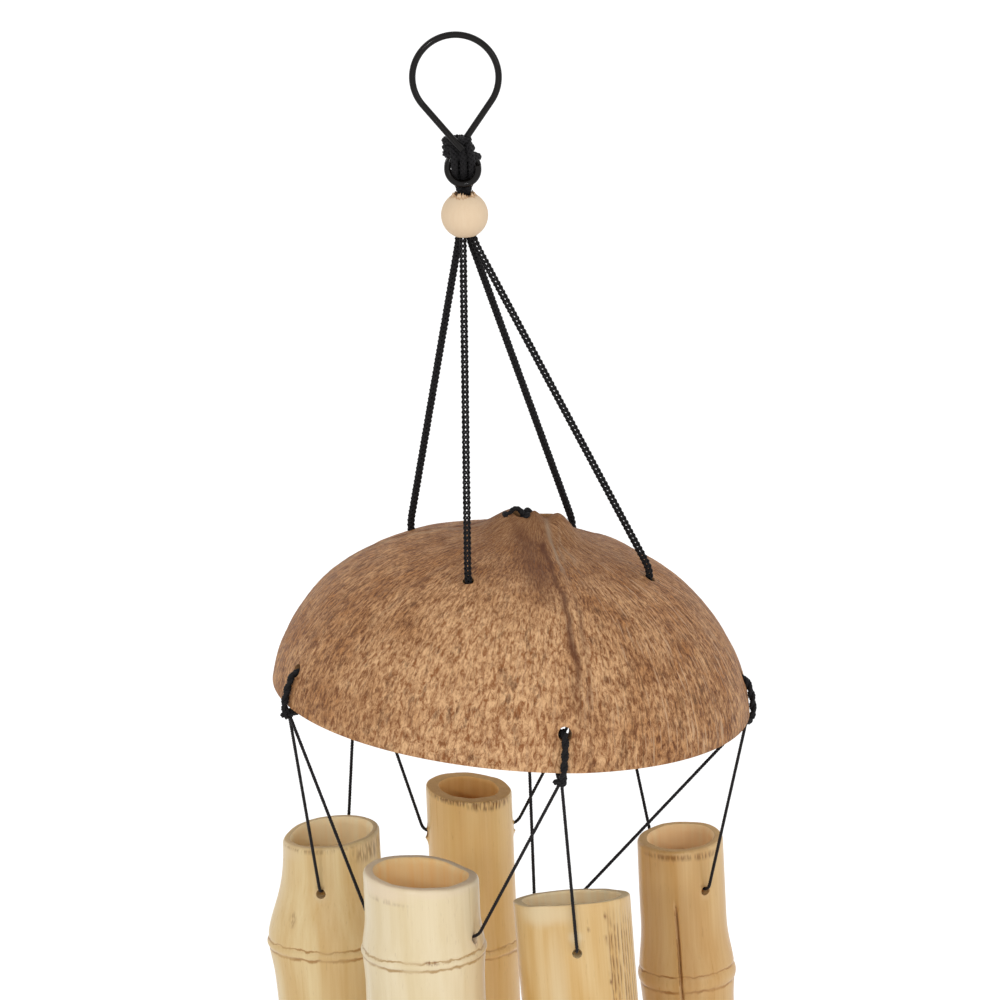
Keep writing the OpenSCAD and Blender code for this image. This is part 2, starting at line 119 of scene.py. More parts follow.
def add_node(tree, kind, inputs=None, **settings):
    """Adds a node with these inputs and settings."""
    node = tree.nodes.new("ShaderNode" + kind)
    for name, value in settings.items():
        setattr(node, name, value)
    feed(tree, node, inputs or {})
    return node


def maths(tree, operation, *values):
    """The result of a sum with up to three values."""
    return add_node(tree, "Math", dict(enumerate(values)), operation=operation).outputs[0]


def ranged(tree, value, start=0.0, end=1.0, low=0.0, high=1.0):
    """A value carried over from the range start to end to the range low to high."""
    return add_node(tree, "MapRange", {"Value": value, "From Min": start, "From Max": end, "To Min": low,
                                       "To Max": high}).outputs[0]


def mixed(tree, share, first, second):
    """A mix of two colours, each a hex code, a linear RGBA or a node's output."""
    first, second = (linear(c) if isinstance(c, str) else c for c in (first, second))
    return add_node(tree, "Mix", {0: share, 6: first, 7: second}, data_type="RGBA").outputs[2]


def grainy(tree, place, size, detail, roughness=0.5, distortion=0.0):
    """Noise with grains of about this size."""
    return add_node(tree, "TexNoise", {"Vector": place, "Scale": 1 / size, "Detail": detail, "Roughness": roughness,
                                       "Distortion": distortion}).outputs[0]


def stretched(tree, place, *scale):
    """A place scaled in each direction. A pattern grows long where the scale is small."""
    return add_node(tree, "Mapping", {"Vector": place, "Scale": scale}).outputs[0]


def bumped(tree, height, deep, strength):
    """A normal that follows a height, deep mm at most."""
    return add_node(tree, "Bump", {"Height": height, "Distance": deep * MM, "Strength": strength}).outputs[0]


def on_vertices(tree, name, kind="Fac"):
    """A number that is stored on the vertices, or with the kind Vector a place."""
    return add_node(tree, "Attribute", attribute_name=name).outputs[kind]


def object_place(tree):
    return add_node(tree, "TexCoord").outputs["Object"]


def start_finish(name):
    """A new material with its node tree and its main shader."""
    finish = bpy.data.materials.new(name)
    finish.use_nodes = True
    return finish, finish.node_tree, finish.node_tree.nodes["Principled BSDF"]


def seen_white(tree):
    """1 for a ray that the camera, a reflection or glass sends, and 0 for light on its way to the chime."""
    ray = add_node(tree, "LightPath").outputs
    shiny = maths(tree, "MAXIMUM", ray["Is Glossy Ray"], ray["Is Transmission Ray"])
    return maths(tree, "MAXIMUM", ray["Is Camera Ray"], shiny)


def meshed(bm, name, place=None):
    """The mesh of a bmesh. With a place, its millimetres are scaled to metres and it is put there."""
    if place is not None:
        bmesh.ops.transform(bm, matrix=Matrix.Scale(MM, 4) @ place, verts=bm.verts)
    mesh = bpy.data.meshes.new(name)
    bm.to_mesh(mesh)
    bm.free()
    return mesh


WHITE = (1, 1, 1, 1)
ROUND_LIGHT = 0.72
studio = bpy.data.worlds.new("studio")
studio.use_nodes = True
bpy.context.scene.world = studio
sky = studio.node_tree
feed(sky, sky.nodes["Background"], {"Color": WHITE, "Strength": ranged(sky, seen_white(sky), low=ROUND_LIGHT)})

LAMPS = {  # place and width in metres, power in watts
    "key": ((-0.45, -1.45, 0.3), 0.12, 2.4),
    "front": ((-0.1, -1.6, 0.15), 1.5, 2.8),
    "fill": ((1.0, -1.0, 0.2), 0.5, 2.0),
}
middle = Vector((0.005, 0, -0.19))
for name, (at, size, watts) in LAMPS.items():
    lamp = bpy.data.lights.new(name, "AREA")
    lamp.size = size
    lamp.energy = watts
    lamp_stand = bpy.data.objects.new(name, lamp)
    lamp_stand.location = at
    lamp_stand.rotation_euler = (middle - Vector(at)).to_track_quat("-Z", "Y").to_euler()
    bpy.context.collection.objects.link(lamp_stand)

FLOOR_Z, FLOOR_HALF, FLOOR_GLOW = -0.64, 6.0, 0.45
bm = bmesh.new()
bmesh.ops.create_grid(bm, x_segments=1, y_segments=1, size=FLOOR_HALF, matrix=Matrix.Translation((0, 0, FLOOR_Z)))
floor_mesh = meshed(bm, "floor")
floor = bpy.data.objects.new("floor", floor_mesh)
bpy.context.collection.objects.link(floor)
# White backdrop paper: matt, and bright enough to show as white
paper, tree, shader = start_finish("white_paper")
feed(tree, shader, {"Base Color": linear("#F4F4F4"), "Roughness": 0.9, "Emission Color": WHITE,
                    "Emission Strength": maths(tree, "MULTIPLY", seen_white(tree), FLOOR_GLOW)})
floor_mesh.materials.append(paper)
print("floor at", FLOOR_Z, "m")

# %% [markdown]
# ## Cord and thread
# The hanger cords are braided polyester: four yarns wind each way and pass over and under each other. The
# front ones are an open braid, so that daylight shows through its middle. The tube threads are twisted from
# three yarns. A cord could be one tube with a bump pattern, but the edge of a braid is bumpy too, so each yarn
# is a round strand swept along its own line.

# %% Lines for cords
def bent_line(route, bend, step):
    """Even steps along straight runs with rounded bends. A corner is cut back by bend, to mid-run at most."""
    points = [np.array(p, float) for p in route]
    fine = [points[0]]
    for a, p, b in zip(points, points[1:], points[2:]):
        before = p + (a - p) * min(bend / np.linalg.norm(a - p), 0.5)
        after = p + (b - p) * min(bend / np.linalg.norm(b - p), 0.5)
        fine += [(1 - t) ** 2 * before + 2 * t * (1 - t) * p + t * t * after for t in np.linspace(0, 1, 13)]
    fine = np.array(fine + [points[-1]])
    run = np.concatenate([[0], np.cumsum(np.linalg.norm(np.diff(fine, axis=0), axis=1))])
    at = np.linspace(0, run[-1], max(2, round(run[-1] / step)) + 1)
    return np.column_stack([np.interp(at, run, fine[:, k]) for k in range(3)])


def yarns(line, radius, pitch, count, hand=1, weave=0.0):
    """The yarns that wind round a line. weave makes each ride over and under those of the other hand."""
    way = np.gradient(line, axis=0)
    way /= np.linalg.norm(way, axis=1)[:, None]
    side = np.array((0.0, -1.0, 0.0) if abs(way[0][1]) < 0.9 else (1.0, 0.0, 0.0))
    sides = []
    for w in way:
        side = side - w * side.dot(w)
        side /= np.linalg.norm(side)
        sides.append(side)
    sides = np.array(sides)
    others = np.cross(way, sides)
    run = np.concatenate([[0], np.cumsum(np.linalg.norm(np.diff(line, axis=0), axis=1))])
    out = radius + weave * np.cos(2 * np.pi * count * run / pitch)
    made = []
    for i in range(count):
        turn = 2 * np.pi * (hand * run / pitch + i / count)
        made.append(line + (out * np.cos(turn))[:, None] * sides + (out * np.sin(turn))[:, None] * others)
    return made


def swept(name, lines, radius, fineness=1):
    """One mesh with a round strand along each line. A bevelled curve does the sweeping."""
    curve = bpy.data.curves.new(name, "CURVE")
    curve.dimensions = "3D"
    curve.bevel_depth = radius * MM
    curve.bevel_resolution = fineness
    curve.use_fill_caps = True
    for line in lines:
        spline = curve.splines.new("POLY")
        spline.points.add(len(line) - 1)
        spline.points.foreach_set("co", np.column_stack([line * MM, np.ones(len(line))]).ravel())
    holder = bpy.data.objects.new(name, curve)
    bpy.context.collection.objects.link(holder)
    mesh = bpy.data.meshes.new_from_object(holder.evaluated_get(bpy.context.evaluated_depsgraph_get()))
    bpy.data.objects.remove(holder)
    bpy.data.curves.remove(curve)
    mesh.name = name
    return mesh


def keep(name, mesh, finishes, body, slot, *nodes):
    """Puts a finished mesh in the scene in place of its solids, and lets it move with its body."""
    piece = bpy.data.objects.new(name, mesh)
    bpy.context.collection.objects.link(piece)
    mesh.materials.clear()
    for finish in finishes:
        mesh.materials.append(finish)
    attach(piece, body)
    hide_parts(*nodes)
    print(name, len(mesh.polygons), "faces")
    return piece


def string_up(node, form, mesh, finish, body, slot):
    """Keeps a cord in place of its solid, and lets it move with its body."""
    piece = keep(node + form, mesh, [finish], body, slot, node)


# %% Cord finishes
# Dyed polyester yarn: nearly black, with dull fibre ends that catch a little light along each strand
def yarn_finish(name, dark, light, roughness):
    finish, tree, shader = start_finish(name)
    fuzz = grainy(tree, object_place(tree), 0.45 * MM, 3.0)
    feed(tree, shader, {"Base Color": mixed(tree, fuzz, dark, light), "Normal": bumped(tree, fuzz, 0.06, 0.6),
                        "Roughness": roughness, "Specular IOR Level": 0.16, "Sheen Weight": 0.03})
    return finish


braided_polyester = yarn_finish("braided_polyester", "#0B0A0B", "#211F21", 0.62)
waxed_thread = yarn_finish("waxed_thread", "#0E0C0E", "#242022", 0.5)
print("cord finishes ready")

# %% Four hanger cords
CORD_D, HANGER_WEAVE, CORD_STEP = 2.2, 0.13, 0.3
BRAID_PITCH = 5.2  # one yarn's full turn, so that the chevrons are 1.3 mm apart
# Place in the bead's hole, turn over the shell, end at the stop knot, and the yarn's radius
HANGERS = {
    "front_left": ((-0.66, -1.48), (-2.76, -28.66, -135.28), (-2.28, -26.65, -140.37), 0.24),
    "front_right": ((1.48, -0.66), (45.39, -8.01, -142.43), (42.40, -7.43, -147.01), 0.235),
    "rear_right": ((0.66, 1.48), (25.89, 30.69, -139.28), (24.41, 28.50, -144.11), 0.29),
    "rear_left": ((-1.48, 0.66), (-17.96, 18.36, -134.46), (-16.65, 17.06, -139.21), 0.29),
}
BEAD_TOP_Z, BEAD_FOOT_Z = -42.15, -51.49


def braid_lines(line, yarn_r, weave):
    """Four yarns that wind each way round a line, over and under each other."""
    mid_r = CORD_D / 2 - weave - yarn_r
    return [y for hand in (1, -1) for y in yarns(line, mid_r, BRAID_PITCH, 4, hand, hand * weave)]


for name, (strand, turn, end, yarn_r) in HANGERS.items():
    line = bent_line([(*strand, BEAD_TOP_Z), (*strand, BEAD_FOOT_Z), turn, end], 4, CORD_STEP)
    node = "hanger_cord_" + name
    braid = swept(node, braid_lines(line, yarn_r, HANGER_WEAVE), yarn_r)
    string_up(node, "_braid", braid, braided_polyester, "canopy", "black_cord")

# %% [markdown]
# ## Tube threads
# Each thread starts in a knot under the shell's rim, goes in at one hole of its tube, out at the other and up
# to the next knot. The knots and the tubes' hanging points are the places of the joints, so they come from the
# frame and not from a second list.

# %% Tube threads
TUBE_KNOTS = {  # the joints that lie at the knots where each thread starts and ends
    "left_rear": ("left_rear_swing", "left_front_swing"),
    "left_front": ("left_front_swing", "right_front_swing"),
    "rear": ("rear_swing", "left_rear_swing"),
    "right_front": ("right_front_swing", "right_rear_swing"),
    "right_rear": ("right_rear_swing", "rear_swing"),
}
TUBE_D = {"left_rear": 26.0, "left_front": 30.0, "rear": 23.6, "right_front": 30.4, "right_rear": 23.0}
THREAD_D, MOUTH_GAP = 0.95, 1.2
THREAD_YARN, THREAD_MID, THREAD_PITCH, THREAD_STEP = 0.255, 0.22, 2.3, 0.22


def twisted(name, line):
    return swept(name, yarns(line, THREAD_MID, THREAD_PITCH, 3), THREAD_YARN)


for tube, knots in TUBE_KNOTS.items():
    hang = joint_at(tube + "_tilt")
    across = -Vector(joints[tube + "_tilt"]["axis"])
    reach = TUBE_D[tube] / 2 + MOUTH_GAP
    mouths = [hang - across * reach, hang + across * reach]
    starts = [joint_at(knot) for knot in knots]
    ways = [(mouth - start).normalized() for mouth, start in zip(mouths, starts)]
    line = bent_line([starts[0] + ways[0], *mouths, starts[1] + ways[1]], 2.4, THREAD_STEP)
    node = "thread_" + tube
    string_up(node, "_twist", twisted(node, line), waxed_thread, "sling_" + tube, "black_thread")

# %% [markdown]
# ## Striker cord and catcher cord
# One thread hangs plumb from the knot on the crown to the striker, and a second one from the striker to the
# wind catcher.

# %% Plumb cords
crown_knot_at = joint_at("striker_swing")
striker_knot_at = joint_at("catcher_swing")
KNOT_D = 4.4
CATCHER_DROP = 160.0
catcher_knot_at = striker_knot_at - Vector((0, 0, CATCHER_DROP))
in_knot = Vector((0, 0, KNOT_D / 3))
for node, body, top, foot in (("striker_cord", "striker", crown_knot_at, striker_knot_at),
                              ("catcher_cord", "catcher", striker_knot_at, catcher_knot_at)):
    line = bent_line([top - in_knot, foot + in_knot], 1, THREAD_STEP)
    string_up(node, "_twist", twisted(node, line), waxed_thread, body, "black_thread")

# %% [markdown]
# ## Wire hook
# One length of black painted wire makes the hanging loop, crosses itself and closes in an eye of more than one and a
# half turns. A curve with a round bevel is the natural tool for bent wire: its line is the wire's own route.

# %% Wire hook
# Painted steel wire: a smooth black coat that gives a thin bright line of reflection along the bend
painted_wire, tree, shader = start_finish("painted_steel_wire")
specks = grainy(tree, object_place(tree), 0.8 * MM, 2.0)
feed(tree, shader, {"Base Color": mixed(tree, specks, "#0B0908", "#181413"),
                    "Roughness": ranged(tree, specks, low=0.08, high=0.16), "Specular IOR Level": 0.17})

WIRE_D, LOOP_R, LOOP_Z = 1.75, 11.075, -9.9
NECK_Z, EYE_R, EYE_Z = -28.0, 3.975, -33.6
LEG = math.asin(LOOP_R / (LOOP_Z - NECK_Z))
EYE_ENTRY = math.pi - math.asin(EYE_R / (NECK_Z - EYE_Z))
WIRE_PITCH, WIRE_TAIL, EYE_TURNS, FRONT_Y = 2.2, 0.4, 1.66, -3.0
half_pitch = WIRE_PITCH / 2
over_the_top = np.linspace(math.pi + LEG, -LEG, 72)
round_the_eye = EYE_ENTRY + np.linspace(0, EYE_TURNS * 2 * math.pi, 72)
route = [(WIRE_TAIL * math.sin(LEG), FRONT_Y, NECK_Z - WIRE_TAIL * math.cos(LEG)), (0, FRONT_Y, NECK_Z)]
route += [(LOOP_R * math.cos(a), 0, LOOP_Z + LOOP_R * math.sin(a)) for a in over_the_top]
route += [(0, half_pitch, NECK_Z)]
route += [(EYE_R * math.cos(a), half_pitch - WIRE_PITCH * (a - EYE_ENTRY) / (2 * math.pi),
           EYE_Z + EYE_R * math.sin(a)) for a in round_the_eye]
HOOK_TURN = math.radians(-2.3)  # the hook hangs a little turned about its eye
to_eye = Matrix.Translation((0, 0, EYE_Z))
about_eye = to_eye @ Matrix.Rotation(HOOK_TURN, 4, "Y") @ to_eye.inverted()
route = [about_eye @ Vector(p) for p in route]
wire = swept("wire_hook", [bent_line(route, 3, 0.5)], WIRE_D / 2, fineness=6)
keep("hook_wire", wire, [painted_wire], "hook", "black_wire", "wire_hook")

# %% [markdown]
# ## Hitch
# The braided cord is wound three times round the neck of the wire, and its loops go down through the eye to
# the bead. Each turn is the same braid as the hanger cords, swept along a few points of its route.

# %% Hitch
def ring_route(middle, radius, tilt, depth=1.0, points=16):
    """Points round a leaning ring, with its ends lapped."""
    lean = Matrix.Rotation(math.radians(tilt), 3, "Y")
    turns = [2 * math.pi * i / points for i in range(points + 2)]
    return [Vector(middle) + lean @ Vector((radius * math.cos(a), depth * radius * math.sin(a), 0)) for a in turns]


HITCH_YARN = 0.36  # thicker than in the hanger cords, because the drawn-up braid lets no light through
HITCH_WEAVE = 0.09 * CORD_D
hitch_routes = [ring_route((-1.3, 0.9, -26.5), 3.0, 0, 0.75), ring_route((-0.9, 0.9, -28.5), 3.4, 4, 0.7),
                ring_route((-0.1, 0.9, -30.5), 4.2, 9, 0.65)]
for x in (-2.1, 0.2, 2.4):  # up behind the eye's foot, out through the eye, up in front and down at the back
    hitch_routes.append([(0.3 * x, 0.3, -40.5), (0.6 * x, 1.3, -38.6), (x, 0.4, -35.6), (x, -2.0, -33.6),
                         (x, -2.4, -30.8), (0.9 * x - 0.4, -1.6, -28.4), (0.8 * x - 0.6, 0.6, -26.2),
                         (0.8 * x - 0.4, 2.4, -27.0), (0.9 * x, 3.2, -30), (x, 2.9, -36), (0.3 * x, 0.5, -40.5)])
for x in (-1.2, 1.2):  # the ends of the cord, laid up inside the wraps
    hitch_routes.append([(0.4 * x, 0.2, -40.5), (x, 1.2, -36.5), (x, 1.2, -31.0), (x - 0.5, 0.9, -26.6)])
lines = [y for route in hitch_routes for y in braid_lines(bent_line(route, 9, CORD_STEP), HITCH_YARN, HITCH_WEAVE)]
keep("hitch_braid", swept("hitch", lines, HITCH_YARN), [braided_polyester], "hook", "black_cord", "hitch")

# %% [markdown]
# ## Turned and grown forms
# The bead, the shell, the tubes and the striker are all spun from profiles, so they share a few helpers.

# %% Spinning and shading
def spun(profiles, steps, near, closed=False):
    """Spins profiles of radius and height round the z axis, and joins the vertices that come near each other."""
    bm = bmesh.new()
    for profile in profiles:
        verts = [bm.verts.new((r, 0, z)) for r, z in profile]
        edges = [bm.edges.new((verts[i - 1], verts[i])) for i in range(0 if closed else 1, len(verts))]
        bmesh.ops.spin(bm, geom=verts + edges, axis=(0, 0, 1), cent=(0, 0, 0), steps=steps, angle=2 * math.pi,
                       use_merge=True)
    bmesh.ops.remove_doubles(bm, verts=bm.verts, dist=near)
    return bm


def stored(mesh, name, values):
    """Stores a number or a vector for each vertex, for the materials to read."""
    values = np.asarray(values, float)
    if values.ndim == 1:
        mesh.attributes.new(name, "FLOAT", "POINT").data.foreach_set("value", values)
    else:
        mesh.attributes.new(name, "FLOAT_VECTOR", "POINT").data.foreach_set("vector", values.ravel())


def smooth(mesh, angle):
    """Smooth shading, but for edges sharper than this angle in degrees."""
    mesh.shade_smooth()
    mesh.set_sharp_from_angle(angle=math.radians(angle))


def dress(mesh, face_finish, angle):
    """Gives each face one of the piece's finishes, by number."""
    mesh.polygons.foreach_set("material_index", face_finish.astype(np.int32))
    smooth(mesh, angle)


def vectors(items, name):
    """One vector of every vertex or face, as rows."""
    values = np.zeros(len(items) * 3)
    items.foreach_get(name, values)
    return values.reshape(-1, 3)


def own_place(points, place):
    """Points in metres as millimetres in a piece's own frame."""
    back = np.array(place.inverted())
    return points / MM @ back[:3, :3].T + back[:3, 3]


def own_way(normals, place):
    return normals @ np.array(place.inverted())[:3, :3].T


print("spinning helpers ready")

# %% [markdown]
# ## Bead
# A turned ball of pale wood with a drilled hole that gathers the four cords. The drill tore small chips out
# of its top edge. A profile of the wall is spun round the axis, and the edge's vertices are then let down.

# %% Bead
# Turned birch, unvarnished: matt, pale, with faint straight grain and warm end fibres where the drill tore it
turned_birch, tree, shader = start_finish("turned_birch")
grain = grainy(tree, stretched(tree, object_place(tree), 1.0, 1.0, 0.12), 0.7 * MM, 4.0)
wood = mixed(tree, grain, "#E7CAA6", "#EED5B5")
feed(tree, shader, {"Base Color": mixed(tree, on_vertices(tree, "torn"), wood, "#B0793F"),
                    "Normal": bumped(tree, grain, 0.08, 0.5), "Roughness": 0.6})

BEAD_Z, BEAD_R, BEAD_HOLE_R, TORN_REACH = -46.06, 6.1, 2.78, 0.9
bead_edge = math.asin(BEAD_HOLE_R / BEAD_R)
arc = [(BEAD_R * math.sin(a), BEAD_R * math.cos(a)) for a in np.linspace(bead_edge, math.pi - bead_edge, 40)]
bore = [(BEAD_HOLE_R, z) for z in np.linspace(arc[-1][1], arc[0][1], 12)[1:-1]]
bm = spun([arc + bore], 128, 0.001, closed=True)
bmesh.ops.recalc_face_normals(bm, faces=bm.faces)
corner = next(iter(bm.verts))  # on the hole's top edge
torn_at = []
for v in bm.verts:
    az = math.atan2(v.co.y, v.co.x)
    from_edge = (Vector((math.hypot(v.co.x, v.co.y), 0, v.co.z)) - corner.co).length
    splinter = sum(h * noise.noise((k * math.cos(az), k * math.sin(az), k)) for h, k in ((1.0, 5.3), (0.8, 12.7)))
    v.co.z += (0.75 + 1.9 * splinter) * max(0.0, 1 - from_edge / TORN_REACH)
    on_ball = v.co.xy.length > BEAD_HOLE_R + 0.05
    torn_at.append(0.85 * math.exp(-((from_edge - TORN_REACH - 0.5 * splinter) / 0.22) ** 2) if on_ball else 0.6)
bead_mesh = meshed(bm, "bead", Matrix.Translation((0, 0, BEAD_Z)))
smooth(bead_mesh, 50)
stored(bead_mesh, "torn", torn_at)
keep("turned_bead", bead_mesh, [turned_birch], "canopy", "bead_wood", "bead")

# %% [markdown]
# ## Coconut shell
# Half a nut, with the three ridges that every coconut has. A quarter arc is spun to a dome, and its vertices are
# moved out to the nut: the lowest of three shifted domes, with the ridges softened. Fibre grooves and lumps
# are moved in as real relief on the outside only, and the cord holes are drilled at the end.

# %% The nut's form
SHELL_R, SHELL_H, SHELL_WALL = 66.0, 49.0, 3.6
LOBE_OFF, LOBE_AZ, RIDGE_AZ = 3.0, (225, 345, 105), (285, 45, 165)
CROWN_H, CROWN_R = 4.0, 26.0
SAW_LIFT, SAW_SLOPE = 3.5, math.tan(math.radians(2.2))
RIDGE_SOFT = 0.35
HUMPS = ((4.4, 3.4, 6.6, -1.0), (3.2, 4.0, -6.0, 0.0))  # height, radius and place, beside the crown's knot
SHOULDER_H, SHOULDER_AT, SHOULDER_W = 0.8, 42, 12
nut_place = Matrix.Translation((7.4, 0, -179.857)) @ Matrix.Rotation(math.radians(8.4), 4, "Y")


def nut_height(x, y):
    """Height of the nut's outside over a point of its base."""
    heights = []
    for az in np.radians(LOBE_AZ):
        rho = np.hypot(x + LOBE_OFF * np.cos(az), y + LOBE_OFF * np.sin(az))
        dome = SHELL_H * np.sqrt(np.clip(1 - (rho / SHELL_R) ** 2, 0, None))
        heights.append(dome + CROWN_H * np.clip(1 - rho / CROWN_R, 0, None) ** 2)
    shoulder = SHOULDER_H * np.exp(-((np.hypot(x, y) - SHOULDER_AT) / SHOULDER_W) ** 2)
    return -RIDGE_SOFT * np.log(sum(np.exp(-h / RIDGE_SOFT) for h in heights)) + shoulder


def wall_radius(az, z, inset=0.0):
    """Radius of the nut's wall at an azimuth and a height, as the rim ties need it."""
    rho = (SHELL_R - inset) * math.sqrt(1 - (z / (SHELL_H - inset)) ** 2)
    return min(math.sqrt(rho ** 2 - (LOBE_OFF * math.sin(az - a)) ** 2) - LOBE_OFF * math.cos(az - a)
               for a in np.radians(LOBE_AZ))


def saw_height(az):
    return SAW_LIFT + wall_radius(az, SAW_LIFT) * math.cos(az) * SAW_SLOPE


SHELL_ROWS, SHELL_COLUMNS = 100, 360
bm = spun([[(math.cos(a), math.sin(a)) for a in np.linspace(0, math.pi / 2, SHELL_ROWS)]], SHELL_COLUMNS, 1e-5)
bmesh.ops.recalc_face_normals(bm, faces=bm.faces)
start = np.array([v.co for v in bm.verts])
azimuth = np.arctan2(start[:, 1], start[:, 0])
saw_rise = np.array([math.atan2(saw_height(a), wall_radius(a, saw_height(a))) for a in azimuth])
rise = saw_rise + (math.pi / 2 - saw_rise) * np.arcsin(np.clip(start[:, 2], 0, 1)) / (math.pi / 2)
low, high = np.zeros(len(start)), np.full(len(start), 1.4 * SHELL_R)
for _ in range(40):
    reach = (low + high) / 2
    outside = reach * np.sin(rise) > nut_height(reach * np.cos(rise) * np.cos(azimuth),
                                                reach * np.cos(rise) * np.sin(azimuth))
    low, high = np.where(outside, low, reach), np.where(outside, reach, high)
nut = np.column_stack([reach * np.cos(rise) * np.cos(azimuth), reach * np.cos(rise) * np.sin(azimuth),
                       reach * np.sin(rise)])
print("nut", len(nut), "points, highest", round(nut[:, 2].max(), 1), "mm")

# %% [markdown]
# The relief is small, a few tenths of a millimetre: fibres that run from the crown to the rim, the low lumps
# of a filed surface, a raised seam on each ridge, and a groove beside the front ridge under the crown.

# %% Fibre relief, wall and holes
outward = nut / np.linalg.norm(nut, axis=1)[:, None]
from_crown = np.hypot(nut[:, 0], nut[:, 1])
FIBRES_ROUND, FIBRE_DEEP, FIBRE_FADE = 26, 0.10, 15
LUMP_SIZE, LUMP_DEEP, GRIT_SIZE, GRIT_DEEP = 9.0, 0.28, 1.6, 0.07
SEAM_W, GROOVE_OFF, GROOVE_W, GROOVE_REACH, GROOVE_DEEP = 1.6, 3.2, 1.5, 34, 1.3
relief = np.zeros(len(nut))
for i, p in enumerate(nut):
    a = azimuth[i]
    fibre = noise.noise((FIBRES_ROUND * math.cos(a), FIBRES_ROUND * math.sin(a), 0.02 * from_crown[i]))
    lump = noise.noise(Vector(p) / LUMP_SIZE)
    grit = noise.noise(Vector(p) / GRIT_SIZE)
    relief[i] = FIBRE_DEEP * fibre * min(1, from_crown[i] / FIBRE_FADE) + LUMP_DEEP * lump + GRIT_DEEP * grit
for az, seam_h in zip(np.radians(RIDGE_AZ), (0.55, 0.3, 0.5)):
    beside = from_crown * np.sin(azimuth - az)
    same_side = np.cos(azimuth - az) > 0
    relief += np.where(same_side, seam_h * np.exp(-(beside / SEAM_W) ** 2), 0)
front = math.radians(RIDGE_AZ[0])
beside = from_crown * np.sin(azimuth - front)
groove = np.exp(-((beside - GROOVE_OFF) / GROOVE_W) ** 2) * np.clip(1 - from_crown / GROOVE_REACH, 0, 1)
relief -= GROOVE_DEEP * groove * (np.cos(azimuth - front) > 0)
near_saw = np.clip((rise - saw_rise) / 0.12, 0, 1)
relief = outward * (relief * near_saw)[:, None]
for h, r, at_x, at_y in HUMPS:
    relief[:, 2] += h * np.exp(-((nut[:, 0] - at_x) ** 2 + (nut[:, 1] - at_y) ** 2) / (2 * r ** 2))
number = bm.verts.layers.int.new("number")
for i, (v, p) in enumerate(zip(bm.verts, nut)):
    v.co = p
    v[number] = i
bm.normal_update()
bmesh.ops.solidify(bm, geom=bm.faces, thickness=SHELL_WALL)
outer = {}  # of the two vertices with one number, the one farther out lies on the outside
for v in bm.verts:
    if v[number] not in outer or v.co.length > outer[v[number]].co.length:
        outer[v[number]] = v
for i, v in outer.items():
    v.co += Vector(relief[i])
bm.verts.layers.int.remove(number)
shell_mesh = meshed(bm, "coconut_shell", nut_place)


def drilled(mesh, drills):
    """The mesh with round holes cut through it: each drill is a middle, a direction, a width and a depth in mm."""
    bm = bmesh.new()
    for at, way, width, depth in drills:
        turn = Vector(way).to_track_quat("Z", "Y").to_matrix().to_4x4()
        bmesh.ops.create_cone(bm, cap_ends=True, segments=28, radius1=width / 2 * MM, radius2=width / 2 * MM,
                              depth=depth * MM, matrix=Matrix.Translation(Vector(at) * MM) @ turn)
    bit = meshed(bm, "drill")
    work, drill = bpy.data.objects.new("work", mesh), bpy.data.objects.new("drill", bit)
    for each in (work, drill):
        bpy.context.collection.objects.link(each)
    cut = work.modifiers.new("holes", "BOOLEAN")
    cut.object = drill
    cut.solver = "MANIFOLD"
    made = bpy.data.meshes.new_from_object(work.evaluated_get(bpy.context.evaluated_depsgraph_get()))
    for each in (work, drill):
        bpy.data.objects.remove(each)
    bpy.data.meshes.remove(bit)
    return made


RIM_HOLE_D, RIM_HOLE_UP, HANGER_HOLE_D, DRILL_DEPTH = 3.6, 9.6, 3.0, 14
CROWN_HOLE_D, CROWN_DEPTH = 3.6, 26
TIES = {"left": 200.6, "front": 280.5, "right": 358.0, "rear_right": 64.0, "rear_left": 132.0}
drills = []
for az in np.radians(list(TIES.values())):
    up = saw_height(az) + RIM_HOLE_UP
    spoke = Vector((math.cos(az), math.sin(az), 0))
    at = spoke * wall_radius(az, up, SHELL_WALL / 2) + Vector((0, 0, up))
    drills.append((nut_place @ at, nut_place.to_3x3() @ spoke, RIM_HOLE_D, DRILL_DEPTH))
for strand, turn, end, yarn_r in HANGERS.values():
    drills.append(((Vector(turn) + Vector(end)) / 2, Vector(turn) - Vector(end), HANGER_HOLE_D, DRILL_DEPTH))
drills.append((crown_knot_at - Vector((0, 0, KNOT_D)), (0, 0, 1), CROWN_HOLE_D, CROWN_DEPTH))
shell_mesh = drilled(shell_mesh, drills)
print("shell", len(shell_mesh.polygons), "faces")

# %% [markdown]
# The finish follows the nut: its pattern is read from the nut's own coordinates, stored on the vertices, so the
# fibres run down from the crown. Dark and pale dabs are laid where the real shell has marks; besides these, the
# crown is darkened as painted shade and the low front is lightened as painted light.

# %% Coconut finishes
# Filed and oiled coconut shell: hard and brown, with a crinkled grain of dark pores and pale fibre ends about a
# millimetre apart, and little shine
oiled_shell, tree, shader = start_finish("oiled_coconut_shell")
nut_mm, fibre_mm = (on_vertices(tree, name, "Vector") for name in ("nut_mm", "fibre_mm"))
dark_marks_and_painted_shade, pale_dab, painted_front_light, streaky = (on_vertices(tree, name)
                                        for name in ("dark_marks_and_painted_shade", "pale_dab", "painted_front_light", "streaky"))
